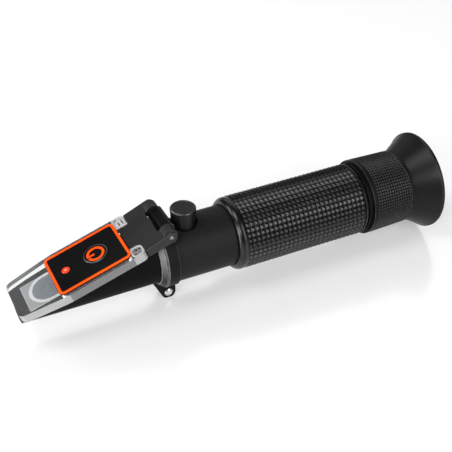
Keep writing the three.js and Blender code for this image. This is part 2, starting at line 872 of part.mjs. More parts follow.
function makeObjectiveCell() {
  const front = knobX - cellRingLength / 2;
  const rear = front + cellRingLength;
  const lip = cellRingBore - cellSeatLip;
  let cell = turned([
    [front, lip],
    [front, cellRingRadius],
    [rear, cellRingRadius],
    [rear, cellRingBore],
    [front + cellSeatLength, cellRingBore],
    [front + cellSeatLength, lip],
  ], innerSteps);
  const stripTop = -tubeBoreRadius + stripRise + stripThickness;
  const notchTop = stripTop + slidingFit + calibrationShift;
  const halfNotch = stripWidth / 2 + slidingFit;
  cell = cell.subtract(
    block(front - cutOverrun, rear + cutOverrun, -halfNotch, halfNotch, -tubeRadius, notchTop),
  );
  return piece("objective_cell", cell, brass);
}

// A lens with two crowned faces, turned round X.
function lensBetween(front, rear, radius, crown) {
  const nose = profileQuarter([front, 0], [front + crown, radius]);
  const tail = profileQuarter([rear, 0], [rear - crown, radius]).reverse();
  return turned([...nose, ...tail], innerSteps);
}

function makeObjectiveLens() {
  const front = knobX - cellRingLength / 2 + cellSeatLength + fixedFit;
  const rear = knobX + cellRingLength / 2 - fixedFit;
  return piece(
    "objective_lens",
    lensBetween(front, rear, cellRingBore - fixedFit, objectiveCrown),
    opticalGlass,
  );
}

// Grip

function makeGrip() {
  const boreRadius = tubeRadius + fixedFit;
  const rear = gripRear;
  const beadTop = gripFront + gripBeadLength;
  const bead = profileQuarter([gripFront, gripBeadStart], [beadTop, gripBeadRadius]);
  const front = [[gripFront, boreRadius], ...bead, [gripKnurlFront, gripGrooveRadius]];
  const back = [
    [gripKnurlRear, gripGrooveRadius],
    [gripKnurlRear, gripBandRadius],
    [rear - gripBandEdge, gripBandRadius],
    [rear, gripBandRadius - gripBandEdge],
    [rear, boreRadius],
  ];
  const rings = [...front, ...back].map(([x, radius]) => ({ x, radius }));
  const pitch = (gripKnurlRear - gripKnurlFront) / gripRows;
  for (let row = 1; row < gripRows; row++)
    rings.splice(front.length + row - 1, 0, { x: gripKnurlFront + row * pitch, radius: gripGrooveRadius });
  for (let row = 0; row < gripRows; row++) rings[front.length - 1 + row].knurled = true;
  return piece("grip_sleeve", knurledSleeve(rings, gripColumns, gripPeakRadius), gripRubber);
}

// Focus ring

function makeFocusRing() {
  const noseRear = focusFront + focusNoseLength;
  const webRear = focusWebFront + focusWebThickness;
  const neckRear = focusRear + focusNeckLength;
  const nose = profileQuarter([focusFront, focusNoseRadius], [noseRear, focusFrontRadius - focusNoseLip]);
  return piece(
    "focus_ring",
    turned([
      [focusFront, focusBoreRadius],
      ...nose,
      [noseRear, focusFrontRadius],
      [focusRear - focusEdge, focusRearRadius],
      [focusRear, focusRearRadius - focusEdge],
      [focusRear, focusNeckRadius],
      [neckRear, focusNeckRadius],
      [neckRear, focusNeckBoreRadius],
      [webRear, focusNeckBoreRadius],
      [webRear, focusWebBoreRadius],
      [focusWebFront, focusWebBoreRadius],
      [focusWebFront, focusBoreRadius],
    ]),
    blackPlastic,
  );
}

// Eyepiece barrel and its lenses

function clipFront() {
  return focusWebFront + focusWebThickness + fixedFit;
}

function makeEyepieceBarrel() {
  const flangeRear = focusWebFront - fixedFit;
  const flangeFront = flangeRear - barrelFlangeLength;
  const grooveFront = clipFront() - fixedFit / 2;
  const grooveRear = clipFront() + clipThickness + fixedFit / 2;
  const lipRear = barrelFront + barrelLipLength;
  let barrel = turned([
    [barrelFront, barrelLipRadius],
    [barrelFront, barrelRadius],
    [flangeFront, barrelRadius],
    [flangeFront, barrelFlangeRadius],
    [flangeRear, barrelFlangeRadius],
    [flangeRear, barrelRadius],
    [grooveFront, barrelRadius],
    [grooveFront, barrelRadius - clipDepth],
    [grooveRear, barrelRadius - clipDepth],
    [grooveRear, barrelRadius],
    [barrelRear, barrelRadius],
    [barrelRear, barrelBoreRadius],
    [lipRear, barrelBoreRadius],
    [lipRear, barrelLipRadius],
  ], innerSteps);
  const halfSlot = guidePinRadius + fixedFit;
  const slotFloor = barrelRadius - guidePinReach - fixedFit;
  const slot = block(
    guidePinX - focusTravel - halfSlot,
    guidePinX + halfSlot,
    -halfSlot,
    halfSlot,
    -tubeRadius,
    -slotFloor,
  );
  return piece("eyepiece_barrel", barrel.subtract(slot), blackPlastic);
}

function makeBarrelClip() {
  const front = clipFront();
  const inner = barrelRadius - clipDepth + fixedFit / 2;
  const ring = tubeBetween(front, front + clipThickness, clipRadius, inner, innerSteps);
  const halfGap = clipRadius * clipGapShare;
  const gap = block(
    front - cutOverrun,
    front + clipThickness + cutOverrun,
    -halfGap,
    halfGap,
    -clipRadius - cutOverrun,
    0,
  );
  return piece("barrel_clip", ring.subtract(gap), steel);
}

function makeGuidePin() {
  const tip = -barrelRadius + guidePinReach;
  return piece(
    "guide_pin",
    rodUpright(guidePinX, 0, -tubeRadius + fixedFit, tip, guidePinRadius),
    steel,
  );
}

function makeFieldLens() {
  const front = fieldLensFront;
  const radius = barrelBoreRadius - fixedFit;
  return piece(
    "field_lens",
    lensBetween(front, front + fieldLensLength, radius, fieldLensCrown),
    opticalGlass,
  );
}

function makeLensSpacer() {
  const radius = barrelBoreRadius - fixedFit;
  return piece(
    "lens_spacer",
    tubeBetween(spacerFront, eyeLensFront - lensGap, radius, radius - lensSpacerWall, innerSteps),
    blackPlastic,
  );
}

function makeEyeLens() {
  const front = eyeLensFront;
  const radius = barrelBoreRadius - fixedFit;
  return piece("eye_lens", lensBetween(front, front + eyeLensLength, radius, eyeLensCrown), opticalGlass);
}

function makeLensRetainer() {
  const front = retainerFront;
  const radius = barrelBoreRadius - fixedFit;
  return piece(
    "lens_retainer",
    tubeBetween(front, front + lensRetainerLength, radius, lensRetainerBore, innerSteps),
    glossBlack,
  );
}

// Eyecup

function makeEyecup() {
  const neckBore = focusNeckRadius + fixedFit;
  const neckFloor = focusRear + focusNeckLength + fixedFit;
  const lipFront = rimX - cupLipLength;
  const rimInner = rimRadius - cupRimWall;
  const bowl = profileCurve(
    [rimX, rimInner],
    [rimX - bowlRimHandleAlong, rimInner - bowlRimHandleIn],
    [bowlFloorX, bowlFloorRadius + bowlFloorHandle],
    [bowlFloorX, bowlFloorRadius],
  );
  return piece(
    "eyecup",
    turned([
      [cupFront, neckBore],
      [cupFront, cupFrontRadius],
      [lipFront, rimRadius - cupLipStep],
      [lipFront + cupLipEdge, rimRadius],
      [rimX - cupLipEdge, rimRadius],
      [rimX, rimRadius - cupLipEdge],
      ...bowl,
      [neckFloor, bowlFloorRadius],
      [neckFloor, neckBore],
    ], rimSteps),
    cupRubber,
  );
}

// Hinge bracket, in the cover's own frame: X along the slope, Z square to it, the hinge pin at the origin

function bracketTopAt(along) {
  const rate = (bracketTopAtPin - bracketTopFront) / -bracketFront;
  return bracketTopAtPin + along * rate;
}

function makeHingeBracket() {
  const plan = roundedOutline([
    [bracketFront, -bracketNoseHalfWidth, bracketCornerRadius],
    [bracketShoulder, -bracketNoseHalfWidth, 0],
    [bracketShoulder, -bracketHalfWidth, bracketCornerRadius],
    [knuckleRadius, -bracketHalfWidth, 0],
    [knuckleRadius, bracketHalfWidth, 0],
    [bracketShoulder, bracketHalfWidth, bracketCornerRadius],
    [bracketShoulder, bracketNoseHalfWidth, 0],
    [bracketFront, bracketNoseHalfWidth, bracketCornerRadius],
  ]);
  const side = new THREE.Shape();
  side.moveTo(bracketFront, bracketBottom);
  side.lineTo(0, bracketBottom);
  side.lineTo(0, bracketTopAt(0));
  side.lineTo(bracketFront, bracketTopAt(bracketFront));
  side.closePath();
  let bracket = across(side, -bracketHalfWidth, bracketHalfWidth);
  const armSide = new THREE.Shape();
  const armTop = Math.asin(bracketTopAt(0) / armEndRadius);
  armSide.moveTo(bracketShoulder, -armDrop);
  armSide.absarc(0, 0, armEndRadius, -quarterTurn, armTop, false);
  armSide.lineTo(bracketShoulder, bracketTopAt(bracketShoulder));
  armSide.closePath();
  for (const hand of [-1, 1]) {
    const inner = Math.min(hand * knuckleOuter, hand * bracketHalfWidth);
    bracket = bracket.add(across(armSide, inner, inner + bracketHalfWidth - knuckleOuter));
    const start = Math.min(hand * slotHalfWidth, hand * knuckleOuter);
    const end = start + knuckleOuter - slotHalfWidth;
    bracket = bracket.add(rodAlongY(0, 0, start, end, knuckleRadius, tubeSteps / 2));
  }
  bracket = bracket.intersect(upwards(plan, -knuckleRadius, knuckleRadius));
  const slot = block(
    slotFront,
    knuckleRadius + cutOverrun,
    -slotHalfWidth,
    slotHalfWidth,
    -knuckleRadius - cutOverrun,
    knuckleRadius + cutOverrun,
  );
  bracket = bracket.subtract(slot);
  const reach = bracketHalfWidth + cutOverrun;
  const hole = rodAlongY(0, 0, -reach, reach, pinRadius + runningFit);
  return piece("hinge_bracket", bracket.subtract(hole), blackPlastic);
}

// Clear daylight plate, in the cover's frame

function makeDaylightPlate() {
  const plan = roundedOutline([
    [plateFront, -plateFrontHalfWidth, plateFrontCorner],
    [plateTaperStart, -plateHalfWidth, plateFrontCorner],
    [plateBack, -plateHalfWidth, plateBackCorner],
    [plateBack, plateHalfWidth, plateBackCorner],
    [plateTaperStart, plateHalfWidth, plateFrontCorner],
    [plateFront, plateFrontHalfWidth, plateFrontCorner],
  ]);
  let plate = upwards(plan, plateBottom, plateTop);
  const above = plateTop + cutOverrun;
  const half = lampLength / 2 + fixedFit;
  const pocket = roundedRectangle(
    lampCentre - half,
    lampCentre + half,
    lampWidth / 2 + fixedFit,
    lampCorner,
  );
  plate = plate.subtract(upwards(pocket, lampPocketFloor, above));
  const tongueFront = lampCentre + half - lampCorner;
  plate = plate.subtract(
    block(tongueFront, plateBack + cutOverrun, -plateTabInner, plateTabInner, plateTongueTop, above),
  );
  const rim = upwards(
    stadium(windowFrontCentre, windowBackCentre, windowRadius + windowRimWidth),
    plateBottom - cutOverrun,
    plateBottom + windowRimDepth,
  );
  const boss = upwards(
    stadium(windowFrontCentre, windowBackCentre, windowRadius),
    plateBottom - cutOverrun,
    plateBottom + windowRimDepth,
  );
  return piece("daylight_plate", plate.subtract(rim.subtract(boss)), clearPlastic);
}

// Lamp unit, in the cover's frame

const lampPanelTop = lampTop - lampPanelInset;
const lampPanelBottom = lampPanelTop - lampPanelThickness;
const lampBottom = lampTop - lampHeight;
const lampCoverTop = lampBottom + lampCoverThickness;
const boardBottom = lampCoverTop + boardRise;
const boardTop = boardBottom + boardThickness;
const lampInnerHalfLength = lampLength / 2 - lampFrameWidth;
const lampInnerHalfWidth = lampWidth / 2 - lampFrameWidth;
const buttonX = lampRear - buttonInset;
const indicatorX = lampFront + indicatorInset;
const boardInset = lampFrameWidth + lampLedgeWidth + boardMargin;
const cellX = lampRear - boardInset - cellEdge - cellRadius;

function lampRectangle(inset, radius) {
  const half = lampLength / 2 - inset;
  return roundedRectangle(lampCentre - half, lampCentre + half, lampWidth / 2 - inset, radius);
}

function makeLampFrame() {
  const outer = upwards(lampRectangle(0, lampCorner), lampBottom, lampTop);
  const inner = lampRectangle(lampFrameWidth, lampInnerCorner);
  let frame = outer.subtract(upwards(inner, lampPanelBottom - fixedFit, lampTop + cutOverrun));
  const well = lampRectangle(lampFrameWidth + lampLedgeWidth, lampInnerCorner);
  frame = frame.subtract(upwards(well, lampBottom - cutOverrun, lampTop));
  const recess = lampRectangle(lampFrameWidth, lampInnerCorner);
  frame = frame.subtract(upwards(recess, lampBottom - cutOverrun, lampCoverTop + fixedFit));
  return piece("lamp_frame", frame, orangePlastic);
}

function makeLampPanel() {
  const plate = lampRectangle(lampFrameWidth + runningFit, lampInnerCorner);
  let panel = upwards(plate, lampPanelBottom, lampPanelTop);
  panel = panel.subtract(
    rodUpright(buttonX, 0, lampPanelBottom - cutOverrun, lampTop, ringOuterRadius + runningFit, buttonSteps),
  );
  panel = panel.subtract(
    rodUpright(
      indicatorX,
      0,
      lampPanelBottom - cutOverrun,
      lampTop,
      indicatorRadius + runningFit,
    ),
  );
  return piece("lamp_panel", panel, glossBlack);
}

function makeButtonRing() {
  const top = lampPanelTop + ringStand;
  return piece(
    "button_ring",
    turnedUpright(buttonX, 0, [
      [ringInnerRadius, lampPanelBottom],
      [ringOuterRadius, lampPanelBottom],
      [ringOuterRadius, lampPanelTop],
      [(ringOuterRadius + ringInnerRadius) / 2, top],
      [ringInnerRadius, lampPanelTop],
    ], buttonSteps),
    greyPlastic,
  );
}

function makePowerButton() {
  const top = lampPanelTop - buttonRecess;
  const flangeTop = lampPanelBottom - runningFit;
  const flangeBottom = flangeTop - buttonFlangeThickness;
  const stemBottom = boardTop + switchHeight + buttonTravel + runningFit / 2;
  return piece(
    "power_button",
    turnedUpright(buttonX, 0, [
      [0, stemBottom],
      [buttonStemRadius, stemBottom],
      [buttonStemRadius, flangeBottom],
      [buttonFlangeRadius, flangeBottom],
      [buttonFlangeRadius, flangeTop],
      [buttonRadius, flangeTop],
      [buttonRadius, top],
      [buttonRadius * buttonDishShare, top - buttonDish],
      [0, top - buttonDish],
    ], buttonSteps),
    glossBlack,
  );
}

function makeIndicatorLens() {
  const x = indicatorX;
  const flangeTop = lampPanelBottom - runningFit;
  const flangeBottom = flangeTop - runningFit * 2;
  return piece(
    "indicator_lens",
    turnedUpright(x, 0, [
      [0, flangeBottom],
      [indicatorFlangeRadius, flangeBottom],
      [indicatorFlangeRadius, flangeTop],
      [indicatorRadius, flangeTop],
      [indicatorRadius, lampPanelTop],
      [0, lampTop],
    ]),
    redLens,
  );
}

function makeCircuitBoard() {
  const plate = lampRectangle(boardInset, lampInnerCorner);
  let board = upwards(plate, boardBottom, boardTop);
  for (const side of [-cellSide, cellSide])
    board = board.subtract(
      rodUpright(cellX, side, boardBottom - cutOverrun, lampTop, cellRadius + fixedFit),
    );
  const chip = lightChipX();
  const halfLength = lightChipLength / 2 + fixedFit;
  const halfWidth = lightChipWidth / 2 + fixedFit;
  board = board.subtract(
    block(chip - halfLength, chip + halfLength, -halfWidth, halfWidth, boardBottom - cutOverrun, lampTop),
  );
  return piece("circuit_board", board, boardGreen);
}

function lightChipX() {
  return lampFront + boardInset + lightChipLength;
}

function makeTactileSwitch() {
  const half = switchSize / 2;
  const bottom = boardTop + runningFit / 2;
  return piece(
    "tactile_switch",
    block(buttonX - half, buttonX + half, -half, half, bottom, boardTop + switchHeight),
    steel,
  );
}

function makeIndicatorChip() {
  const x = indicatorX;
  const half = indicatorChipSize / 2;
  const bottom = boardTop + runningFit / 2;
  return piece(
    "indicator_chip",
    block(x - half, x + half, -half, half, bottom, boardTop + indicatorChipHeight),
    lampWhite,
  );
}

function makeLightChip() {
  const x = lightChipX();
  const half = lightChipLength / 2;
  const side = lightChipWidth / 2;
  return piece(
    "light_chip",
    block(x - half, x + half, -side, side, boardBottom, boardBottom + lightChipHeight),
    lampWhite,
  );
}

function makeCell(name, side) {
  return piece(
    name,
    rodUpright(cellX, side, boardBottom, boardBottom + cellHeight, cellRadius),
    steel,
  );
}

function makeLampBackCover() {
  const plate = lampRectangle(lampFrameWidth + runningFit, lampInnerCorner);
  const cover = upwards(plate, lampBottom, lampCoverTop);
  const x = lightChipX();
  const half = lightWindowLength / 2;
  const window = block(
    x - half,
    x + half,
    -lightWindowWidth / 2,
    lightWindowWidth / 2,
    lampBottom - cutOverrun,
    lampCoverTop + cutOverrun,
  );
  return piece("lamp_back_cover", cover.subtract(window), blackPlastic);
}

// Assembly

const cover = new THREE.Group();
cover.position.set(pinX, 0, pinRise);
cover.rotation.y = -coverSlope;
cover.add(
  makeHingeBracket(),
  makeDaylightPlate(),
  makeLampFrame(),
  makeLampPanel(),
  makeButtonRing(),
  makePowerButton(),
  makeIndicatorLens(),
  makeCircuitBoard(),
  makeTactileSwitch(),
  makeIndicatorChip(),
  makeLightChip(),
  makeCell("button_cell_left", cellSide),
  makeCell("button_cell_right", -cellSide),
  makeLampBackCover(),
);

const instrument = new THREE.Group();
const frontEnd = onSlope(plateFront, plateTop).x;
instrument.position.set(-(frontEnd + rimX) / 2, 0, rimRadius);
instrument.add(
  makePrismHead(),
  makeMainPrism(),
  makeClampBand(),
  makeClampScrew(),
  makeClampNut(),
  makeHingePin(),
  makeMainTube(),
  makeBimetalStrip(),
  makeStripScrew(),
  makeReticleHolder(),
  makeReticle(),
  makeCalibrationBush(),
  makeCalibrationKnob(),
  makeCalibrationScrew(),
  makeObjectiveCell(),
  makeObjectiveLens(),
  makeGrip(),
  makeGuidePin(),
  makeEyepieceBarrel(),
  makeBarrelClip(),
  makeFieldLens(),
  makeLensSpacer(),
  makeEyeLens(),
  makeLensRetainer(),
  makeFocusRing(),
  makeEyecup(),
  cover,
);

const refractometer = new THREE.Group();
refractometer.add(instrument);
export default refractometer;
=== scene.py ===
import math
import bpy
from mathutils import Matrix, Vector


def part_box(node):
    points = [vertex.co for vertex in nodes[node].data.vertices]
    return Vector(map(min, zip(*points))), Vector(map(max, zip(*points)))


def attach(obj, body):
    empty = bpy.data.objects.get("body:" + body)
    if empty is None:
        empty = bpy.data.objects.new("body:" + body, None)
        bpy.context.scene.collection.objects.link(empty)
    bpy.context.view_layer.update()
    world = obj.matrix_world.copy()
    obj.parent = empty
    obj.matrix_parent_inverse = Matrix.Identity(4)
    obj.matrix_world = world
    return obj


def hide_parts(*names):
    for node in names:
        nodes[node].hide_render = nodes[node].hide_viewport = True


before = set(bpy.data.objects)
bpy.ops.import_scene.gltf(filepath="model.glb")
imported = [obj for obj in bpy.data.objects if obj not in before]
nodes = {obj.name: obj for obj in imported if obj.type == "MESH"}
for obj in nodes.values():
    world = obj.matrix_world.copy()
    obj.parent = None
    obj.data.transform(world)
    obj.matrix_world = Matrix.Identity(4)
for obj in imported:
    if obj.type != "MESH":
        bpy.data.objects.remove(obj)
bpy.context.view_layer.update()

from types import SimpleNamespace as Sizes

import bmesh
import bpy
from mathutils import Matrix, Vector

print("frame loaded:", len(nodes), "nodes")

# Modelled in millimetres, in the tube's frame or the cover's, and placed once at the end.
# Tube: X along the axis with 0 at the front end of the grip, Z up.
# Cover: X up its slope, Z square to it, 0 at the hinge pin.
tube = {
    "rimX": 88.2, "rimRadius": 20.05, "knobX": -17.66, "pinX": -27.1, "pinRise": 15.2,
    "slope": math.radians(17.88),
}
mm = 0.001
tubeFrame = (
    Matrix.Translation((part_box("eyecup")[1].x - tube["rimX"] * mm, 0, tube["rimRadius"] * mm))
    @ Matrix.Diagonal((mm, mm, mm, 1))
)
pinPlace = Matrix.Translation((tube["pinX"], 0, tube["pinRise"]))
coverTurn = Matrix.Rotation(-tube["slope"], 4, "Y")
coverFrame = tubeFrame @ pinPlace @ coverTurn


# Camera and studio

camera = {
    "place": (-127.4, -265.25, 223.51), "looks": (0.347, 0.7225, -0.5979), "lens": 76.12, "sensor": 36,
}


def addObject(name, data):
    thing = bpy.data.objects.new(name, data)
    bpy.context.scene.collection.objects.link(thing)
    return thing


def addMesh(name, bm):
    mesh = bpy.data.meshes.new(name)
    bm.to_mesh(mesh)
    bm.free()
    return addObject(name, mesh)


def makeCamera():
    data = bpy.data.cameras.new("camera")
    data.lens = camera["lens"]
    data.sensor_width = camera["sensor"]
    data.clip_start, data.clip_end = 0.01, 20
    seat = addObject("camera", data)
    seat.location = tubeFrame @ Vector(camera["place"])
    seat.rotation_mode = "QUATERNION"
    seat.rotation_quaternion = Vector(camera["looks"]).to_track_quat("-Z", "Y")
    bpy.context.scene.camera = seat


lamps = {
    "left": {"place": (-0.94, -0.32, 0.22), "size": (0.55, 0.42), "watts": 6.5},
    "rearLeft": {"place": (-0.8, 0.55, 0.6), "size": (0.5, 0.4), "watts": 4},
    "above": {"place": (-0.42, 0.0, 0.95), "size": (0.45, 0.45), "watts": 4},
    "key": {"place": (-0.61, -0.64, 0.55), "size": (0.34, 0.34), "watts": 3.6},
    "front": {"place": (0.4, -1.03, 0.62), "size": (0.55, 1.15), "watts": 9},
    "card": {"place": (0.5, 1.04, 0.87), "size": (1.45, 1.2), "watts": 4.2},
}


def makeLamps():
    for name, lamp in lamps.items():
        data = bpy.data.lights.new(name, "AREA")
        data.shape = "RECTANGLE"
        data.size, data.size_y = lamp["size"]
        data.energy = lamp["watts"]
        light = addObject(name, data)
        light.location = lamp["place"]
        light.rotation_euler = (-Vector(lamp["place"])).to_track_quat("-Z", "Y").to_euler()


studio = {
    "light": 0.1, "floor": (0.66, 0.66, 0.66, 1), "floorGloss": 0.19, "floorShine": 0.8, "floorIor": 1.92,
    "floorGlow": 0.31, "reach": 8,
}


def makeWorld():
    world = bpy.data.worlds.new("studio")
    bpy.context.scene.world = world
    world.use_nodes = True
    tree = world.node_tree
    tree.nodes.clear()
    lit = addNode(tree, "Background", {"Color": (1, 1, 1, 1), "Strength": studio["light"]})
    addNode(tree, "OutputWorld", {}, 0, lit.outputs[0])


# 1 for the kinds of ray that show the floor's own white, 0 for the light that falls on things.
def seenRays(tree, *kinds):
    path = addNode(tree, "LightPath")
    total = path.outputs[kinds[0]]
    for kind in kinds[1:]:
        add = addNode(tree, "Math", {}, 0, total)
        add.operation = "MAXIMUM"
        tree.links.new(path.outputs[kind], add.inputs[1])
        total = add.outputs[0]
    return total


def makeFloor():
    bm = bmesh.new()
    bmesh.ops.create_grid(bm, x_segments=1, y_segments=1, size=studio["reach"])
    floor = addMesh("floor", bm)
    material, tree, shader = newMaterial("floorWhite")
    setInputs(shader, {
        "Base Color": studio["floor"], "Roughness": studio["floorGloss"],
        "Specular IOR Level": studio["floorShine"], "IOR": studio["floorIor"],
    })
    glow = addNode(tree, "Emission", {"Strength": studio["floorGlow"]})
    dark = addNode(tree, "Emission", {"Strength": 0})
    rays = seenRays(tree, "Is Camera Ray", "Is Glossy Ray", "Is Transmission Ray")
    pick = addNode(tree, "MixShader", {}, 0, rays)
    tree.links.new(dark.outputs[0], pick.inputs[1])
    tree.links.new(glow.outputs[0], pick.inputs[2])
    both = addNode(tree, "AddShader", {}, 0, shader.outputs[0])
    tree.links.new(pick.outputs[0], both.inputs[1])
    tree.links.new(both.outputs[0], tree.nodes["Material Output"].inputs["Surface"])
    floor.data.materials.append(material)


# Materials

def newMaterial(name):
    material = bpy.data.materials.new(name)
    material.use_nodes = True
    return material, material.node_tree, material.node_tree.nodes["Principled BSDF"]


def setInputs(node, values):
    for socket, value in values.items():
        node.inputs[socket].default_value = value


# A node with its constants set, and its source if one feeds it.
def addNode(tree, kind, values={}, socket=None, source=None):
    node = tree.nodes.new("ShaderNode" + kind)
    setInputs(node, values)
    if source:
        tree.links.new(source, node.inputs[socket])
    return node


# Object coordinates, shifted or stretched.
def addPlace(tree, values):
    place = addNode(tree, "TexCoord").outputs["Object"]
    return addNode(tree, "Mapping", values, "Vector", place).outputs[0]


def addNoise(tree, scale, detail, stretch=(1, 1, 1)):
    place = addPlace(tree, {"Scale": stretch})
    return addNode(tree, "TexNoise", {"Scale": scale, "Detail": detail}, "Vector", place).outputs["Fac"]


def addRange(tree, source, low, high, fromLow=0.3, fromHigh=0.7):
    values = {"From Min": fromLow, "From Max": fromHigh, "To Min": low, "To Max": high}
    return addNode(tree, "MapRange", values, "Value", source).outputs["Result"]


# One pattern that changes the colour and the gloss together.
def addTones(tree, shader, source, finish, gloss, spread=(0.35, 0.65)):
    ramp = addNode(tree, "ValToRGB", {}, "Fac", source)
    for stop, position, tone in zip(ramp.color_ramp.elements, spread, (finish["dark"], finish["light"])):
        stop.position = position
        stop.color = (*tone, 1)
    tree.links.new(ramp.outputs["Color"], shader.inputs["Base Color"])
    tree.links.new(addRange(tree, source, *gloss), shader.inputs["Roughness"])


def addBump(tree, shader, source, strength, distance):
    bump = addNode(tree, "Bump", {"Strength": strength, "Distance": distance}, "Height", source)
    tree.links.new(bump.outputs["Normal"], shader.inputs["Normal"])


# A moulded or coated surface: a faint grain in the relief, and slow changes in colour and gloss.
def mouldedMaterial(name, finish):
    material, tree, shader = newMaterial(name)
    grain = addNoise(tree, finish.get("grainScale", 3000), 2)
    cloud = addNoise(tree, finish.get("cloudScale", 60), 4)
    addTones(tree, shader, cloud, finish, finish["gloss"])
    addBump(tree, shader, grain, finish["grain"], 0.0001)
    setInputs(shader, {"Specular IOR Level": finish.get("specular", 0.5)})
    return material


finishes = {
    "coatedBlack": {
        "dark": (0.008, 0.008, 0.0082), "light": (0.0125, 0.0125, 0.0128),
        "gloss": (0.42, 0.52), "specular": 0.1, "grainScale": 6000, "grain": 0.2, "cloudScale": 1500,
    },
    "headBlack": {
        "dark": (0.003, 0.003, 0.0031), "light": (0.0062, 0.0062, 0.0064),
        "gloss": (0.46, 0.56), "specular": 0.04, "grainScale": 6000, "grain": 0.2, "cloudScale": 1500,
    },
    "mouldedBlack": {
        "dark": (0.0038, 0.0038, 0.004), "light": (0.006, 0.006, 0.0062),
        "gloss": (0.42, 0.52), "specular": 0.09, "grainScale": 4500, "grain": 0.16,
    },
    "glossBlack": {
        "dark": (0.002, 0.002, 0.0022), "light": (0.0032, 0.0032, 0.0034),
        "gloss": (0.16, 0.24), "specular": 0.3, "grain": 0.03,
    },
    "gripBlack": {
        "dark": (0.003, 0.003, 0.0031), "light": (0.0055, 0.0055, 0.0056),
        "gloss": (0.26, 0.34), "specular": 0.36, "grainScale": 5000, "grain": 0.08,
    },
    "beadBlack": {
        "dark": (0.001, 0.001, 0.0011), "light": (0.0022, 0.0022, 0.0023),
        "gloss": (0.22, 0.28), "specular": 0.38, "grainScale": 5000, "grain": 0.05,
    },
    "knurlBlack": {
        "dark": (0.0095, 0.0095, 0.0097), "light": (0.015, 0.015, 0.0152),
        "gloss": (0.34, 0.44), "specular": 0.34, "grainScale": 5000, "grain": 0.1,
    },
    # Painted highlight on rounded edges: a paler grey than the black round it.
    "paintedEdgeHighlight": {
        "dark": (0.014, 0.014, 0.0145), "light": (0.045, 0.045, 0.047),
        "gloss": (0.24, 0.34), "specular": 0.6, "grainScale": 4000, "grain": 0.1, "cloudScale": 700,
    },
    # The cone's grey, which a painted highlight makes paler towards its top.
    "paintedConeHighlightGrey": {
        "dark": (0.003, 0.003, 0.0031), "light": (0.012, 0.012, 0.0122),
        "gloss": (0.32, 0.42), "specular": 0.18, "grainScale": 4000, "grain": 0.1, "cloudScale": 700,
    },
    # A brighter painted highlight on the clamp band's and the bracket's rounded edges.
    "brightEdgeHighlight": {
        "dark": (0.1, 0.1, 0.102), "light": (0.24, 0.24, 0.244),
        "gloss": (0.26, 0.36), "specular": 0.6, "grainScale": 4000, "grain": 0.1, "cloudScale": 700,
    },
    "armGrey": {
        "dark": (0.012, 0.012, 0.0124), "light": (0.02, 0.02, 0.0204),
        "gloss": (0.36, 0.46), "specular": 0.22, "grainScale": 3500, "grain": 0.18, "cloudScale": 300,
    },
    "tongueBlack": {
        "dark": (0.0012, 0.0012, 0.0013), "light": (0.0022, 0.0022, 0.0023),
        "gloss": (0.26, 0.34), "specular": 0.14, "grain": 0.03,
    },
    # Painted shade: near-black for the knurl valleys, the gap in front of the focus ring, the tongue's front
    # and the slot's lip.
    "paintedShadeBlack": {
        "dark": (0.0008, 0.0008, 0.0008), "light": (0.0014, 0.0014, 0.0014),
        "gloss": (0.5, 0.6), "specular": 0.1, "grainScale": 5000, "grain": 0.05,
    },
    "knobBlack": {
        "dark": (0.0035, 0.0035, 0.0036), "light": (0.0085, 0.0085, 0.0086),
        "gloss": (0.32, 0.46), "specular": 0.2, "grainScale": 2600, "grain": 0.3, "cloudScale": 500,
    },
    "bracketBlack": {
        "dark": (0.0085, 0.0085, 0.0087), "light": (0.0125, 0.0125, 0.0127),
        "gloss": (0.42, 0.52), "specular": 0.26, "grainScale": 3500, "grain": 0.22,
    },
    "cupBlack": {
        "dark": (0.0016, 0.0016, 0.0017), "light": (0.003, 0.003, 0.0031),
        "gloss": (0.33, 0.41), "specular": 0.21, "grainScale": 5500, "grain": 0.1,
    },
    "panelBlack": {
        "dark": (0.0014, 0.0014, 0.0017), "light": (0.0032, 0.0032, 0.0036),
        "gloss": (0.42, 0.52), "specular": 0.09, "grainScale": 3500, "grain": 0.12,
    },
    "orangePlastic": {
        "dark": (0.93, 0.074, 0.001), "light": (1.0, 0.092, 0.003),
        "gloss": (0.44, 0.54), "specular": 0.1, "grain": 0.04,
    },
    "greyPlastic": {
        "dark": (0.025, 0.025, 0.027), "light": (0.04, 0.04, 0.042),
        "gloss": (0.22, 0.3), "grain": 0.04,
    },
    "boardGreen": {
        "dark": (0.012, 0.09, 0.03), "light": (0.018, 0.13, 0.045),
        "gloss": (0.3, 0.4), "grainScale": 2000, "grain": 0.05,
    },
    "lampWhite": {
        "dark": (0.8, 0.78, 0.6), "light": (0.88, 0.86, 0.7),
        "gloss": (0.3, 0.4), "grainScale": 2000, "grain": 0.02,
    },
    "redLens": {
        "dark": (0.9, 0.035, 0.008), "light": (1.0, 0.06, 0.012),
        "gloss": (0.12, 0.18), "grainScale": 2000, "grain": 0.02,
    },
}


# Bare metal, with fine turning marks in the gloss.
def metalMaterial(name, finish):
    material, tree, shader = newMaterial(name)
    marks = addNoise(tree, 900, 5, (1, 1, 6))
    addTones(tree, shader, marks, finish, (finish["rough"], finish["rough"] + 0.12))
    addBump(tree, shader, marks, 0.1, 0.00005)
    setInputs(shader, {"Metallic": 1})
    return material


metals = {
    "plainSteel": {"dark": (0.5, 0.5, 0.51), "light": (0.72, 0.72, 0.73), "rough": 0.2},
    "dullSteel": {"dark": (0.16, 0.16, 0.165), "light": (0.26, 0.26, 0.27), "rough": 0.28},
    "turnedBrass": {"dark": (0.6, 0.4, 0.13), "light": (0.75, 0.53, 0.2), "rough": 0.25},
}


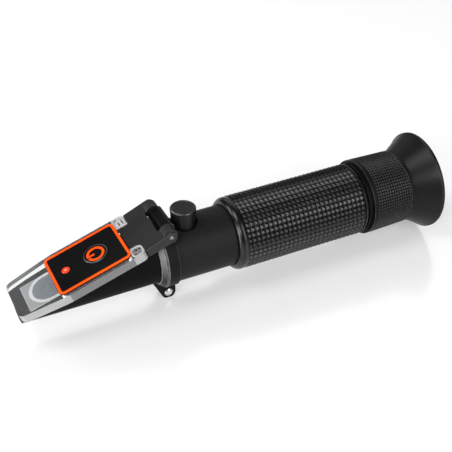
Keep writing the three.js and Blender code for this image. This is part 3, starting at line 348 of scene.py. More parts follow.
# Glass and clear plastic: haze is the share of scattered light, waves the unevenness of the moulding.
def clearMaterial(name, finish):
    material, tree, shader = newMaterial(name)
    setInputs(shader, {
        "Base Color": (*finish["tint"], 1), "Transmission Weight": 1 - finish["haze"], "IOR": finish["ior"],
    })
    ripple = addNoise(tree, 120, 2)
    gloss = addRange(tree, ripple, finish["rough"], finish["rough"] + 0.012)
    tree.links.new(gloss, shader.inputs["Roughness"])
    addBump(tree, shader, ripple, finish.get("waves", 0.004), 0.0002)
    return material


clears = {
    "clearAcrylic": {"tint": (0.95, 0.96, 0.965), "rough": 0.004, "ior": 1.42, "haze": 0.04},
    "cloudyAcrylic": {"tint": (0.62, 0.63, 0.64), "rough": 0.05, "ior": 1.42, "haze": 0.6},
    # Two tones of the plate's hazy walls and tabs: a darker one as painted shade, a paler one as painted light.
    "shadedAcrylic": {"tint": (0.19, 0.19, 0.195), "rough": 0.1, "ior": 1.42, "haze": 0.8},
    "litAcrylic": {"tint": (0.46, 0.46, 0.465), "rough": 0.1, "ior": 1.42, "haze": 0.75},
    "opticalGlass": {"tint": (0.95, 0.97, 0.99), "rough": 0.0, "ior": 1.52, "haze": 0, "waves": 0},
}


# The prism's faces under the plate: fine frosting with a faint sparkle.
def frostedMaterial(name, finish):
    material, tree, shader = newMaterial(name)
    frost = addNoise(tree, 2600, 4)
    addTones(tree, shader, frost, finish, (finish["rough"] - 0.08, finish["rough"] + 0.08), (0.4, 0.62))
    addBump(tree, shader, frost, 0.2, 0.00008)
    return material


frosts = {
    "prismFrost": {"dark": (0.36, 0.365, 0.37), "light": (0.5, 0.505, 0.51), "rough": 0.45},
    "prismFace": {"dark": (0.16, 0.187, 0.215), "light": (0.29, 0.322, 0.36), "rough": 0.3},
    "windowRim": {"dark": (0.84, 0.85, 0.86), "light": (0.93, 0.93, 0.94), "rough": 0.4},
}


# Mixes a paler colour into a material by a share from 0 to 1.
def addPale(tree, share, pale):
    colour = tree.nodes["Principled BSDF"].inputs["Base Color"]
    blend = addNode(tree, "Mix")
    blend.data_type = "RGBA"
    tree.links.new(share, blend.inputs["Factor"])
    tree.links.new(colour.links[0].from_socket, blend.inputs["A"])
    setInputs(blend, {"B": (*pale, 1)})
    tree.links.new(blend.outputs["Result"], colour)


# The small red light, paler towards its middle.
def paleMiddle(material, centre, reach, pale):
    tree = material.node_tree
    place = addPlace(tree, {"Location": -centre / reach, "Scale": (1 / reach,) * 3})
    ball = addNode(tree, "TexGradient", {}, "Vector", place)
    ball.gradient_type = "SPHERICAL"
    addPale(tree, addRange(tree, ball.outputs["Fac"], 0, 1, 0.55, 0.95), pale)


# The clamp band's cone, with a painted highlight that makes it paler towards its top. Heights are in metres.
coneHighlight = {"low": 0.016, "high": 0.029, "pale": (0.2, 0.2, 0.203)}


# Mixes a paler colour in by height: a painted highlight on the top of a part.
def paintHighlightTowardsTop(material, low, high, pale):
    tree = material.node_tree
    place = addNode(tree, "TexCoord").outputs["Object"]
    split = addNode(tree, "SeparateXYZ", {}, 0, place)
    addPale(tree, addRange(tree, split.outputs["Z"], 0, 1, low, high), pale)


materials = {}
for makeMaterial, looks in (
    (mouldedMaterial, finishes), (metalMaterial, metals), (clearMaterial, clears), (frostedMaterial, frosts),
):
    for name, finish in looks.items():
        materials[name] = makeMaterial(name, finish)
paintHighlightTowardsTop(materials["paintedConeHighlightGrey"], **coneHighlight)
print("materials made:", len(materials))


# Modelling helpers

# Turns a line of points in X and Z once round an axis.
def spinLine(points, steps, axis, closed):
    bm = bmesh.new()
    corners = [bm.verts.new((a, 0, b)) for a, b in points]
    for first, second in zip(corners, corners[1:]):
        bm.edges.new((first, second))
    if closed:
        bm.edges.new((corners[-1], corners[0]))
    bmesh.ops.spin(
        bm, geom=bm.verts[:] + bm.edges[:], cent=(0, 0, 0), axis=axis, dvec=(0, 0, 0), angle=math.tau,
        steps=steps, use_merge=True,
    )
    bmesh.ops.remove_doubles(bm, verts=bm.verts[:], dist=0.0005)
    return bm


# Turns a profile of (along, radius) points round X; with upright it is (radius, height) points round Z.
def turn(profile, steps=96, upright=False, centre=(0, 0, 0), closed=True):
    bm = spinLine(profile, steps, (0, 0, 1) if upright else (1, 0, 0), closed)
    bmesh.ops.translate(bm, verts=bm.verts[:], vec=centre)
    return outward(bm)


def outward(bm):
    bmesh.ops.dissolve_degenerate(bm, edges=bm.edges[:], dist=0.0001)
    bmesh.ops.recalc_face_normals(bm, faces=bm.faces[:])
    return bm


# Solid round bars: a rod stands up along Z, a bar lies along the tube.
def rod(radius, low, high, steps=64, centre=(0, 0, 0)):
    profile = [(0, low), (radius, low), (radius, high), (0, high)]
    return turn(profile, steps, upright=True, centre=centre, closed=False)


def bar(radius, start, end):
    return turn([(start, 0), (start, radius), (end, radius), (end, 0)], steps=128, closed=False)


def alongY(bm, x, z):
    bm.transform(Matrix.Translation((x, 0, z)) @ Matrix.Rotation(math.pi / 2, 4, "X"))
    return bm


# Extrudes a flat outline between two levels. Corners are (x, y, radius).
# With side="Y" the outline lies in X and Z, and the levels are across Y.
def extrude(corners, low, high, side="Z"):
    bm = bmesh.new()
    verts = [bm.verts.new((x, y, 0)) for x, y, *_ in corners]
    bm.faces.new(verts)
    for vert, (_, _, *radius) in zip(verts, corners):
        if radius and radius[0]:
            bmesh.ops.bevel(
                bm, geom=[vert], offset=radius[0], offset_type="OFFSET", affect="VERTICES",
                segments=6, profile=0.5, material=-1,
            )
    across = Vector((0, 0, 1))
    if side == "Y":
        across = Vector((0, 1, 0))
        upright = Matrix.Rotation(math.pi / 2, 3, "X")
        bmesh.ops.rotate(bm, verts=bm.verts[:], cent=(0, 0, 0), matrix=upright)
    bmesh.ops.translate(bm, verts=bm.verts[:], vec=across * low)
    made = bmesh.ops.extrude_face_region(bm, geom=bm.faces[:])
    raised = [v for v in made["geom"] if isinstance(v, bmesh.types.BMVert)]
    bmesh.ops.translate(bm, verts=raised, vec=across * (high - low))
    return outward(bm)


def fourCorners(x0, x1, y0, y1, radius=0):
    return [(x0, y0, radius), (x1, y0, radius), (x1, y1, radius), (x0, y1, radius)]


def rectangle(x0, x1, halfWidth, radius=0):
    return fourCorners(x0, x1, -halfWidth, halfWidth, radius)


def arc(x, y, radius, start, end, steps):
    angles = [start + (end - start) * i / steps for i in range(steps + 1)]
    return [(x + radius * math.cos(a), y + radius * math.sin(a)) for a in angles]


# A slot-shaped outline with round ends.
def stadium(x0, x1, radius):
    quarter = math.pi / 2
    return arc(x1, 0, radius, -quarter, quarter, 16) + arc(x0, 0, radius, quarter, 3 * quarter, 16)


# A quarter of an oval, which leaves the start square to X.
def arcPoints(start, end, steps=8):
    (x0, r0), (x1, r1) = start, end
    points = []
    for i in range(steps + 1):
        angle = math.pi / 2 * i / steps
        points.append((x1 - (x1 - x0) * math.cos(angle), r0 + (r1 - r0) * math.sin(angle)))
    return points


# A smooth curve from a to d that b and c pull.
def curvePoints(a, b, c, d, steps=14):
    points = []
    for i in range(steps + 1):
        t = i / steps
        u = 1 - t
        pulls = ((u**3, a), (3 * u * u * t, b), (3 * u * t * t, c), (t**3, d))
        points.append(tuple(sum(share * point[k] for share, point in pulls) for k in (0, 1)))
    return points


# Rounds off the edges that turn more than an angle, except those a test leaves out.
# The new faces may take another finish.
def soften(bm, width, segments=2, angle=40, keep=None, finish=None):
    edges = [
        e for e in bm.edges
        if e.is_manifold and e.calc_face_angle(0) > math.radians(angle) and not (keep and keep(e))
    ]
    made = bmesh.ops.bevel(
        bm, geom=edges, offset=width, offset_type="OFFSET", affect="EDGES",
        segments=segments, profile=0.5, material=-1, clamp_overlap=True,
    )
    if finish:
        for face in made["faces"]:
            face.material_index = finish


# Joins or cuts closed forms.
def carve(bm, *tools, how="DIFFERENCE"):
    for tool in tools:
        holders = [addMesh("formBody", bm), addMesh("formTool", tool)]
        cut = holders[0].modifiers.new("cut", "BOOLEAN")
        cut.operation = how
        cut.solver = "EXACT"
        cut.object = holders[1]
        graph = bpy.context.evaluated_depsgraph_get()
        bm = bmesh.new()
        bm.from_mesh(holders[0].evaluated_get(graph).to_mesh())
        for holder in holders:
            mesh = holder.data
            bpy.data.objects.remove(holder)
            bpy.data.meshes.remove(mesh)
    bmesh.ops.remove_doubles(bm, verts=bm.verts[:], dist=0.0005)
    bmesh.ops.dissolve_limit(bm, angle_limit=math.radians(0.5), verts=bm.verts[:], edges=bm.edges[:])
    return outward(bm)


# Cuts a closed form at a level, keeps one side and closes the cut.
def cutLevel(bm, level, keepAbove):
    cut = bmesh.ops.bisect_plane(
        bm, geom=bm.verts[:] + bm.edges[:] + bm.faces[:], dist=0.0001,
        plane_co=(0, 0, level), plane_no=(0, 0, 1), clear_inner=keepAbove, clear_outer=not keepAbove,
    )
    rim = [e for e in cut["geom_cut"] if isinstance(e, bmesh.types.BMEdge)]
    bmesh.ops.triangle_fill(bm, edges=rim, use_beauty=True, use_dissolve=False)
    outward(bm)


# Makes a finished piece: its mesh goes to its place and its object stays at the origin.
def place(name, bm, where, body, material, *replaced, slot, angle=35, weighted=True, more=()):
    bm.transform(where)
    piece = addMesh(name, bm)
    piece.data.shade_smooth()
    piece.data.set_sharp_from_angle(angle=math.radians(angle))
    for finish in (material, *more):
        piece.data.materials.append(materials[finish])
    if weighted:
        piece.modifiers.new("evenShading", "WEIGHTED_NORMAL").keep_sharp = True
    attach(piece, body)
    if replaced:
        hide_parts(*replaced)


# Prism head

headSizes = {
    "front": -83.6, "rear": -22.9, "radius": 10.3, "lightBore": 6.0, "seatFront": -32.05, "seatBore": 9.05,
    "boreFront": -44.2, "faceDrop": 2.8, "edge": 0.25,
}


def makePrismHead():
    s = Sizes(**headSizes)
    head = turn([
        (s.front, 0), (s.front, s.radius), (s.rear, s.radius), (s.rear, s.seatBore), (s.seatFront, s.seatBore),
        (s.seatFront, s.lightBore), (s.boreFront, s.lightBore), (s.boreFront, 0),
    ], steps=128, closed=False)
    above = extrude(rectangle(-70, 12, 14), -s.faceDrop, 40)
    above.transform(pinPlace @ coverTurn)
    head = carve(head, above)
    soften(head, s.edge, 2, 25, keep=lambda e: all(v.co.x > s.boreFront - 1 for v in e.verts))
    place("headCasting", head, tubeFrame, "body", "headBlack", "prism_head", slot="black_metal")


prismSizes = {
    "front": -56.2, "back": -24.0, "halfWidth": 7.2, "corner": 0.25, "topDrop": 2.7, "depth": 2.2, "edge": 0.2,
    "windowFront": -47.0, "windowBack": -34.0, "windowRadius": 5.9, "windowSink": 0.2, "windowStand": 0.06,
    "ringRadius": 7.2, "ringGap": 0.02, "ringSink": 0.1, "ringStand": 0.04,
}


def makePrism():
    s = Sizes(**prismSizes)
    top = -s.topDrop

    def roundEnded(radius, sink, stand):
        return extrude(stadium(s.windowFront, s.windowBack, radius), top - sink, top + stand)

    plan = rectangle(s.front, s.back, s.halfWidth, s.corner)
    block = extrude(plan, top - s.depth, top)
    soften(block, s.edge, 2, 30, finish=1)
    place(
        "prismBlock", block, coverFrame, "body", "prismFrost", "main_prism", slot="optical_glass",
        more=("windowRim",),
    )
    window = roundEnded(s.windowRadius, s.windowSink, s.windowStand)
    place("prismWindow", window, coverFrame, "body", "prismFace", slot="optical_glass")
    hole = roundEnded(s.windowRadius + s.ringGap, 1, 1)
    ring = carve(roundEnded(s.ringRadius, s.ringSink, s.ringStand), hole)
    place("windowRing", ring, coverFrame, "body", "windowRim", slot="optical_glass")


# Clamp band with its tongue and lug

tongueProfile = (  # from the pin: along, up, rounding
    (-2.25, -5.6, 0), (-2.2, -0.7, 0.4), (-1.35, 0.9, 0.35), (2.1, 2.2, 0.7), (3.1, 1.5, 0.6),
    (3.45, 0.2, 0.6), (3.6, -5.6, 0),
)
clampSizes = {
    "front": -31.3, "rear": -24.45, "bore": 10.45, "radius": 12.9, "lead": 10.95, "leadRear": -29.4,
    "grooveRear": -28.95, "grooveDepth": 0.35, "edge": 0.2, "tongueHalfWidth": 6.3, "tongueShade": -28.6,
    "tongueEdge": 0.22, "lugHalf": 3.0, "slit": 1.1, "slitTop": -10.0, "lugEnd": (-25.9, -17.45),
    "lugRadius": 2.9, "lugToe": (-32.8, -9.85), "lugShoulder": -10.6, "toeStep": 1.2, "lugEdge": 0.3,
    "cutFront": -40, "cutRear": -15, "cutLow": -30,
}


def makeClampBand():
    s = Sizes(**clampSizes)
    flat = s.radius - s.grooveDepth
    band = turn([
        (s.front, s.bore), (s.front, s.lead), (s.leadRear, flat), (s.leadRear, flat - s.grooveDepth),
        (s.grooveRear, flat - s.grooveDepth), (s.grooveRear, s.radius), (s.rear, s.radius), (s.rear, s.bore),
    ], steps=128)
    # The cone's faces take the grey with a painted highlight towards its top; the rounded edges take painted
    # edge highlights, the rear ones the paler kind.
    for face in band.faces:
        if face.normal.x < -0.3 and s.front + 0.1 < face.calc_center_median().x < s.leadRear:
            face.material_index = 1
    soften(band, s.edge, 3, 25, finish=2)
    for face in band.faces:
        if face.material_index == 2 and face.calc_center_median().x > s.rear - 1:
            face.material_index = 3
    tongue = extrude(
        [(tube["pinX"] + a, tube["pinRise"] + b, round) for a, b, round in tongueProfile],
        -s.tongueHalfWidth, s.tongueHalfWidth, side="Y",
    )
    tongue = carve(tongue, bar(s.bore, s.cutFront, s.cutRear))
    # The tongue's rounded edges take the painted edge highlight, and its front faces the painted shade.
    soften(tongue, s.tongueEdge, 3, finish=1)
    for face in tongue.faces:
        if face.calc_center_median().x < s.tongueShade:
            face.material_index = 2
    endX, endZ = s.lugEnd
    toeX, toeZ = s.lugToe
    rise = math.atan2(endZ - toeZ, endX - toeX)
    lean = math.asin(s.lugRadius / math.hypot(endX - toeX, endZ - toeZ))
    start = rise - lean - math.pi / 2 + math.tau
    lug = extrude([
        (toeX, toeZ), *arc(endX, endZ, s.lugRadius, start, math.tau, 18), (endX + s.lugRadius, s.lugShoulder),
        (toeX + s.toeStep, toeZ + s.toeStep),
    ], -s.lugHalf, s.lugHalf, side="Y")

    def cut(high, half):
        return extrude(fourCorners(s.cutFront, s.cutRear, s.cutLow, high), -half, half, side="Y")

    foot, slit = cut(-tube["rimRadius"], s.lugHalf * 2), cut(s.slitTop, s.slit / 2)
    lug = carve(lug, foot, slit, bar(s.bore, s.cutFront, s.cutRear))
    soften(lug, s.lugEdge, 3)
    place(
        "clampRing", band, tubeFrame, "body", "mouldedBlack", "clamp_band", slot="black_plastic",
        more=("paintedConeHighlightGrey", "brightEdgeHighlight", "paintedEdgeHighlight"),
    )
    place(
        "clampTongue", tongue, tubeFrame, "body", "tongueBlack", slot="black_plastic",
        more=("paintedEdgeHighlight", "paintedShadeBlack"),
    )
    place("clampLug", lug, tubeFrame, "body", "mouldedBlack", slot="black_plastic")


screwSizes = {
    "x": -26.2, "z": -16.9, "headRadius": 1.6, "headHeight": 0.9, "headSide": 0.45, "crown": 0.72,
    "crownDrop": 0.1, "face": 3.15, "tail": 5.05, "shaftRadius": 0.95, "slotHalf": 1.05, "slotWidth": 0.42,
    "slotDepth": 0.45, "slotTurn": 35, "nutRadius": 2.1, "nutHeight": 1.4, "nutGap": 0.1, "nutEdge": 0.12,
}


def makeClampScrew():
    s = Sizes(**screwSizes)
    face, high = s.face, s.face + s.headHeight
    screw = turn([
        (0, -s.tail), (s.shaftRadius, -s.tail), (s.shaftRadius, face), (s.headRadius, face),
        (s.headRadius, face + s.headSide), (s.headRadius * s.crown, high - s.crownDrop), (0, high),
    ], steps=40, upright=True, closed=False)
    for quarter in (0, 1):
        blade = extrude(rectangle(-s.slotHalf, s.slotHalf, s.slotWidth / 2), high - s.slotDepth, high + 1)
        blade.transform(Matrix.Rotation(math.radians(s.slotTurn + 90 * quarter), 4, "Z"))
        screw = carve(screw, blade)
    alongY(screw, s.x, s.z)
    place("clampScrew", screw, tubeFrame, "body", "plainSteel", "clamp_screw", slot="steel")
    bm = bmesh.new()
    bmesh.ops.create_cone(
        bm, cap_ends=True, segments=6, radius1=s.nutRadius, radius2=s.nutRadius, depth=s.nutHeight,
    )
    nut = carve(bm, rod(s.shaftRadius + s.nutGap, -3, 3, 32))
    soften(nut, s.nutEdge)
    nut.transform(Matrix.Translation((0, 0, -(face + s.nutHeight / 2))))
    alongY(nut, s.x, s.z)
    place("clampNut", nut, tubeFrame, "body", "plainSteel", "clamp_nut", slot="steel")


pinSizes = {"radius": 0.9, "half": 11.95, "dome": 0.4}


def makeHingePin():
    s = Sizes(**pinSizes)
    dome = arcPoints((-s.half, 0), (-s.half + s.dome, s.radius), 5)
    profile = [(radius, along) for along, radius in dome]
    profile += [(radius, -along) for radius, along in reversed(profile)]
    pin = alongY(turn(profile, steps=40, upright=True, closed=False), tube["pinX"], tube["pinRise"])
    place("hingePin", pin, tubeFrame, "body", "dullSteel", "hinge_pin", slot="steel")


# Main tube

tubeSizes = {
    "nose": -24.38, "noseBore": 10.45, "front": -22.7, "rear": 70.4, "radius": 12.05, "bore": 9.5,
    "spigotFront": -31.9, "spigotRadius": 8.9, "spigotBore": 7.6, "web": 0.7, "spotFace": 10.35,
    "spotRadius": 5.3, "knobHole": 2.85, "edge": 0.2,
}


def makeMainTube():
    s = Sizes(**tubeSizes)
    webRear = s.front + s.web
    shell = turn([
        (s.spigotFront, s.spigotBore), (s.spigotFront, s.spigotRadius), (s.front, s.spigotRadius),
        (s.front, s.noseBore), (s.nose, s.noseBore), (s.nose, s.radius), (s.rear, s.radius), (s.rear, s.bore),
        (webRear, s.bore), (webRear, s.spigotBore),
    ], steps=128)
    soften(shell, s.edge)
    centre = (tube["knobX"], 0, 0)
    shell = carve(shell, rod(s.spotRadius, s.spotFace, 20, centre=centre), rod(s.knobHole, 0, 20, 48, centre))
    place("tubeShell", shell, tubeFrame, "body", "coatedBlack", "main_tube", slot="black_metal")


# Calibration knob

knobSizes = {
    "bottom": 10.65, "top": 18.45, "radius": 4.95, "foot": 4.6, "edge": 0.42, "dish": 0.15, "boreTop": 11.65,
    "bore": 3.0, "rounding": 0.12,
}


def makeKnob():
    s = Sizes(**knobSizes)
    rim, floor = s.radius - s.edge, s.top - s.dish
    knob = turn([
        (s.bore, s.bottom), (s.foot, s.bottom), (s.radius, s.top - s.edge), (rim, s.top), (rim - s.edge, s.top),
        (rim - s.edge - s.dish, floor), (0, floor), (0, s.boreTop), (s.bore, s.boreTop),
    ], upright=True, centre=(tube["knobX"], 0, 0), closed=False)
    # The top chamfer takes the painted edge highlight: a bright ring round the top.
    for face in knob.faces:
        if 0.3 < abs(face.normal.z) < 0.95 and face.calc_center_median().z > s.top - s.edge:
            face.material_index = 1
    soften(knob, s.rounding, 3, 25)
    place(
        "knobCap", knob, tubeFrame, "calibration_knob", "knobBlack", "calibration_knob",
        slot="black_plastic", more=("paintedEdgeHighlight",),
    )


# Grip

gripSizes = {
    "front": -0.5, "rear": 56.1, "bore": 12.2, "beadStart": 12.5, "beadRadius": 14.45, "beadLength": 2.7,
    "knurlFront": 3.2, "knurlRear": 54.9, "valley": 13.85, "peak": 14.58, "rows": 27, "columns": 43,
    "floor": 0.09, "tip": 0.045, "band": 14.4, "tailDrop": 0.75, "edge": 0.12,
    "knurlLift": 0.03,
}


# Rows of small pyramids on an open sleeve: each face of a grid is drawn in twice and lifted.
# Floor is the share of the pitch that stays flat on each side, and tip that of the blunt end.
def knurlSleeve(front, rear, radii, rows, columns, height, floor, tip):
    (first, last), shares = radii, [i / rows for i in range(rows + 1)]
    line = [(front + (rear - front) * t, first + (last - first) * t) for t in shares]
    bm = spinLine(line, columns, (1, 0, 0), False)
    bmesh.ops.recalc_face_normals(bm, faces=bm.faces[:])
    middles = [(f.normal, f.calc_center_median()) for f in bm.faces]
    if sum(normal.y * middle.y + normal.z * middle.z for normal, middle in middles) < 0:
        bmesh.ops.reverse_faces(bm, faces=bm.faces[:])
    pitch = (rear - front) / rows
    cells = bm.faces[:]

    def drawIn(thickness, depth):
        return bmesh.ops.inset_individual(
            bm, faces=cells, thickness=thickness, depth=depth, use_even_offset=True,
        )["faces"]

    # The flat floor round each pyramid takes the second finish: painted shade in the valleys.
    for face in drawIn(pitch * floor, 0):
        face.material_index = 1
    for face in cells:
        face.material_index = 0
    drawIn(pitch * (0.5 - floor - tip), height)
    drawIn(pitch * tip * 0.55, height * 0.12)
    return bm


def makeGrip():
    s = Sizes(**gripSizes)
    bead = arcPoints((s.front, s.beadStart), (s.front + s.beadLength, s.beadRadius))
    tail = arcPoints((s.rear, s.band - s.tailDrop), (s.knurlRear + 0.2, s.band), 6)
    sleeve = turn([
        (s.front, s.bore), *bead, (s.knurlFront - 0.15, s.beadRadius - 0.2), (s.knurlFront, s.valley),
        (s.knurlRear, s.valley), (s.knurlRear, s.band), *tail[::-1], (s.rear, s.bore),
    ], steps=172)
    soften(sleeve, s.edge)
    # The bead takes its glossier black, and the rear band the painted edge highlight.
    for face in sleeve.faces:
        if face.calc_center_median().x < s.knurlFront:
            face.material_index = 1
        elif face.calc_center_median().x > s.rear - 0.35:
            face.material_index = 2
    place(
        "gripBody", sleeve, tubeFrame, "body", "gripBlack", "grip_sleeve", slot="grip_rubber",
        more=("beadBlack", "paintedEdgeHighlight"),
    )
    foot = s.valley + s.knurlLift
    knurl = knurlSleeve(
        s.knurlFront, s.knurlRear, (foot, foot), s.rows, s.columns,
        s.peak - s.valley - 2 * s.knurlLift, s.floor, s.tip,
    )
    place(
        "gripKnurl", knurl, tubeFrame, "body", "gripBlack", slot="grip_rubber", angle=20, weighted=False,
        more=("paintedShadeBlack",),
    )


# Focus ring

ringSizes = {
    "front": 56.5, "rear": 77.4, "frontRadius": 15.42, "rearRadius": 14.9, "nose": 14.2, "neckLength": 1.75,
    "bore": 12.3, "webFront": 74.9, "webRear": 76.4, "webBore": 9.6, "neckRear": 81.2, "neck": 12.6,
    "neckBore": 11.4, "collarOverlap": 0.3, "knurlFront": 60.2, "knurlRear": 75.9, "rows": 14, "columns": 78,
    "knurlDrop": 0.3, "knurlHeight": 0.34, "floor": 0.13, "tip": 0.13, "groove": 0.34, "edge": 0.12,
    "collarEdge": 0.25,
}


def makeFocusRing():
    s = Sizes(**ringSizes)
    start = s.front + s.neckLength
    rate = (s.rearRadius - s.frontRadius) / (s.rear - start)

    def at(x, drop=0):
        return x, s.frontRadius + rate * (x - start) - drop

    collarRear = start + s.collarOverlap
    # The collar in the gap between grip and ring is painted near-black as the shade in that gap.
    collar = turn([(s.front, s.bore), (s.front, s.nose), (collarRear, s.nose), (collarRear, s.bore)], steps=156)
    soften(collar, s.collarEdge, 3)
    place("focusCollar", collar, tubeFrame, "focus_ring", "paintedShadeBlack", slot="black_plastic")
    ring = turn([
        (start, s.bore), at(start), at(s.knurlFront), at(s.knurlFront, s.groove), at(s.knurlRear, s.groove),
        at(s.knurlRear), at(s.rear), (s.rear, s.neck), (s.neckRear, s.neck), (s.neckRear, s.neckBore),
        (s.webRear, s.neckBore), (s.webRear, s.webBore), (s.webFront, s.webBore), (s.webFront, s.bore),
    ], steps=156)
    # The rounded edges take the painted edge highlight.
    soften(ring, s.edge, finish=1)
    place(
        "focusBody", ring, tubeFrame, "focus_ring", "mouldedBlack", "focus_ring", slot="black_plastic",
        more=("paintedEdgeHighlight",),
    )
    knurl = knurlSleeve(
        s.knurlFront, s.knurlRear, [at(x, s.knurlDrop)[1] for x in (s.knurlFront, s.knurlRear)],
        s.rows, s.columns, s.knurlHeight, s.floor, s.tip,
    )
    place(
        "focusKnurl", knurl, tubeFrame, "focus_ring", "knurlBlack", slot="black_plastic", angle=20,
        weighted=False, more=("paintedShadeBlack",),
    )


# Eyecup

cupSizes = {
    "front": 77.8, "frontRadius": 14.1, "lip": 1.0, "lipStep": 0.3, "rounding": 0.15, "wall": 1.05,
    "bowlX": 85.0, "bowlDrop": 0.7, "bowlRadius": 14.4, "floorX": 82.6, "floorRadius": 11.0, "neck": 12.75,
    "neckFloor": 81.35, "hollow": 0.12,
}


def makeEyecup():
    s = Sizes(**cupSizes)
    rimX, rim, rounding = tube["rimX"], tube["rimRadius"], s.rounding
    lipX = rimX - s.lip
    start = Vector((s.front, s.frontRadius))
    end = Vector((lipX, rim - s.lipStep))
    sink = Vector((s.hollow, -s.hollow))
    flare = curvePoints(start, start.lerp(end, 0.33) + sink, start.lerp(end, 0.67) + sink, end)
    inner = rim - s.wall
    bowl = curvePoints(
        (rimX, inner), (s.bowlX, inner - s.bowlDrop), (s.floorX, s.bowlRadius), (s.floorX, s.floorRadius),
    )
    cup = turn([
        (s.front, s.neck), *flare, (lipX + rounding, rim), (rimX - rounding, rim), (rimX, rim - rounding),
        *bowl, (s.neckFloor, s.floorRadius), (s.neckFloor, s.neck),
    ], steps=160)
    place("cupBody", cup, tubeFrame, "focus_ring", "cupBlack", "eyecup", slot="cup_rubber")


# Eyepiece

barrelSizes = {
    "front": 44, "rear": 80, "radius": 9.35, "bore": 8.2, "shoulder": 49.2, "frontBore": 6.8,
    "flangeFront": 73.35, "flangeRear": 74.75, "flange": 11, "edge": 0.12,
}
eyeLensSizes = {"front": 74.0, "length": 4.0, "crown": 1.3, "radius": 8.05}


def makeEyepiece():
    s = Sizes(**barrelSizes)
    barrel = turn([
        (s.front, s.frontBore), (s.front, s.radius), (s.flangeFront, s.radius), (s.flangeFront, s.flange),
        (s.flangeRear, s.flange), (s.flangeRear, s.radius), (s.rear, s.radius), (s.rear, s.bore),
        (s.shoulder, s.bore), (s.shoulder, s.frontBore),
    ])
    soften(barrel, s.edge)
    place("barrelBody", barrel, tubeFrame, "eyepiece", "coatedBlack", "eyepiece_barrel", slot="black_plastic")
    e = Sizes(**eyeLensSizes)
    rear = e.front + e.length
    nose = arcPoints((e.front, 0), (e.front + e.crown, e.radius))
    tail = arcPoints((rear, 0), (rear - e.crown, e.radius))[::-1]
    lens = turn([*nose, *tail], closed=False)
    place("eyeLens", lens, tubeFrame, "eyepiece", "opticalGlass", "eye_lens", slot="optical_glass")


# Hinge bracket

bracketSizes = {
    "front": -14.8, "shoulder": -10.4, "halfWidth": 11.8, "nose": 6.1, "topFront": 0.5, "topAtPin": 2.0,
    "bottom": -0.8, "corner": 0.5, "knuckle": 2.7, "arm": 10.1, "armEnd": 2.1, "armDrop": 2.3,
    "slotFront": -3.3, "slotHalf": 6.4, "pinHole": 1.0, "edge": 0.2, "lip": -2.85, "lipHeight": 0.6,
}


def makeBracket():
    s = Sizes(**bracketSizes)
    half, nose, corner, back = s.halfWidth, s.nose, s.corner, s.knuckle + 1
    rate = (s.topAtPin - s.topFront) / -s.front
    side = [(s.front, s.bottom), (0, s.bottom), (0, s.topAtPin), (s.front, s.topFront)]
    plate = extrude(side, -half, half, side="Y")
    armTop = math.asin(s.topAtPin / s.armEnd)
    arm = [
        (s.shoulder, -s.armDrop), *arc(0, 0, s.armEnd, -math.pi / 2, armTop, 16),
        (s.shoulder, s.topAtPin + s.shoulder * rate),
    ]
    for hand in (-1, 1):
        near, far = sorted((hand * s.arm, hand * half))
        plate = carve(plate, extrude(arm, near, far, side="Y"), how="UNION")
        near, far = sorted((hand * s.slotHalf, hand * (s.arm + 0.5)))
        knuckle = rod(s.knuckle, near, far)
        knuckle.transform(Matrix.Rotation(-math.pi / 2, 4, "X"))
        plate = carve(plate, knuckle, how="UNION")
    plan = [
        (s.front, -nose, corner), (s.shoulder, -nose, 0), (s.shoulder, -half, corner), (back, -half, 0),
        (back, half, 0), (s.shoulder, half, corner), (s.shoulder, nose, 0), (s.front, nose, corner),
    ]
    plate = carve(plate, extrude(plan, -4, 4), how="INTERSECT")
    slot = extrude(rectangle(s.slotFront, 8, s.slotHalf), -8, 8)
    hole = alongY(rod(s.pinHole, -20, 20, 40), 0, 0)
    plate = carve(plate, slot, hole)
    # A low lip across the slot's floor, coloured with the painted shade, closes the view through the slot.
    lipTop = s.bottom + s.lipHeight
    lip = extrude(rectangle(s.slotFront - 0.3, s.lip, s.slotHalf + 0.2), s.bottom, lipTop)
    plate = carve(plate, lip, how="UNION")
    # The rounded edges take a bright painted edge highlight, and the lip's faces the painted shade.
    soften(plate, s.edge, 3, 35, finish=1)
    for face in plate.faces:
        middle = face.calc_center_median()
        if abs(face.normal.y) > 0.99 and abs(middle.y) > half - 0.05:
            face.material_index = 2
        if s.slotFront + 0.02 < middle.x < s.lip + 0.1 and middle.z < lipTop + 0.1:
            face.material_index = 3
    place(
        "bracketBody", plate, coverFrame, "cover", "bracketBlack", "hinge_bracket", slot="black_plastic",
        more=("brightEdgeHighlight", "armGrey", "paintedShadeBlack"),
    )


# Clear daylight plate

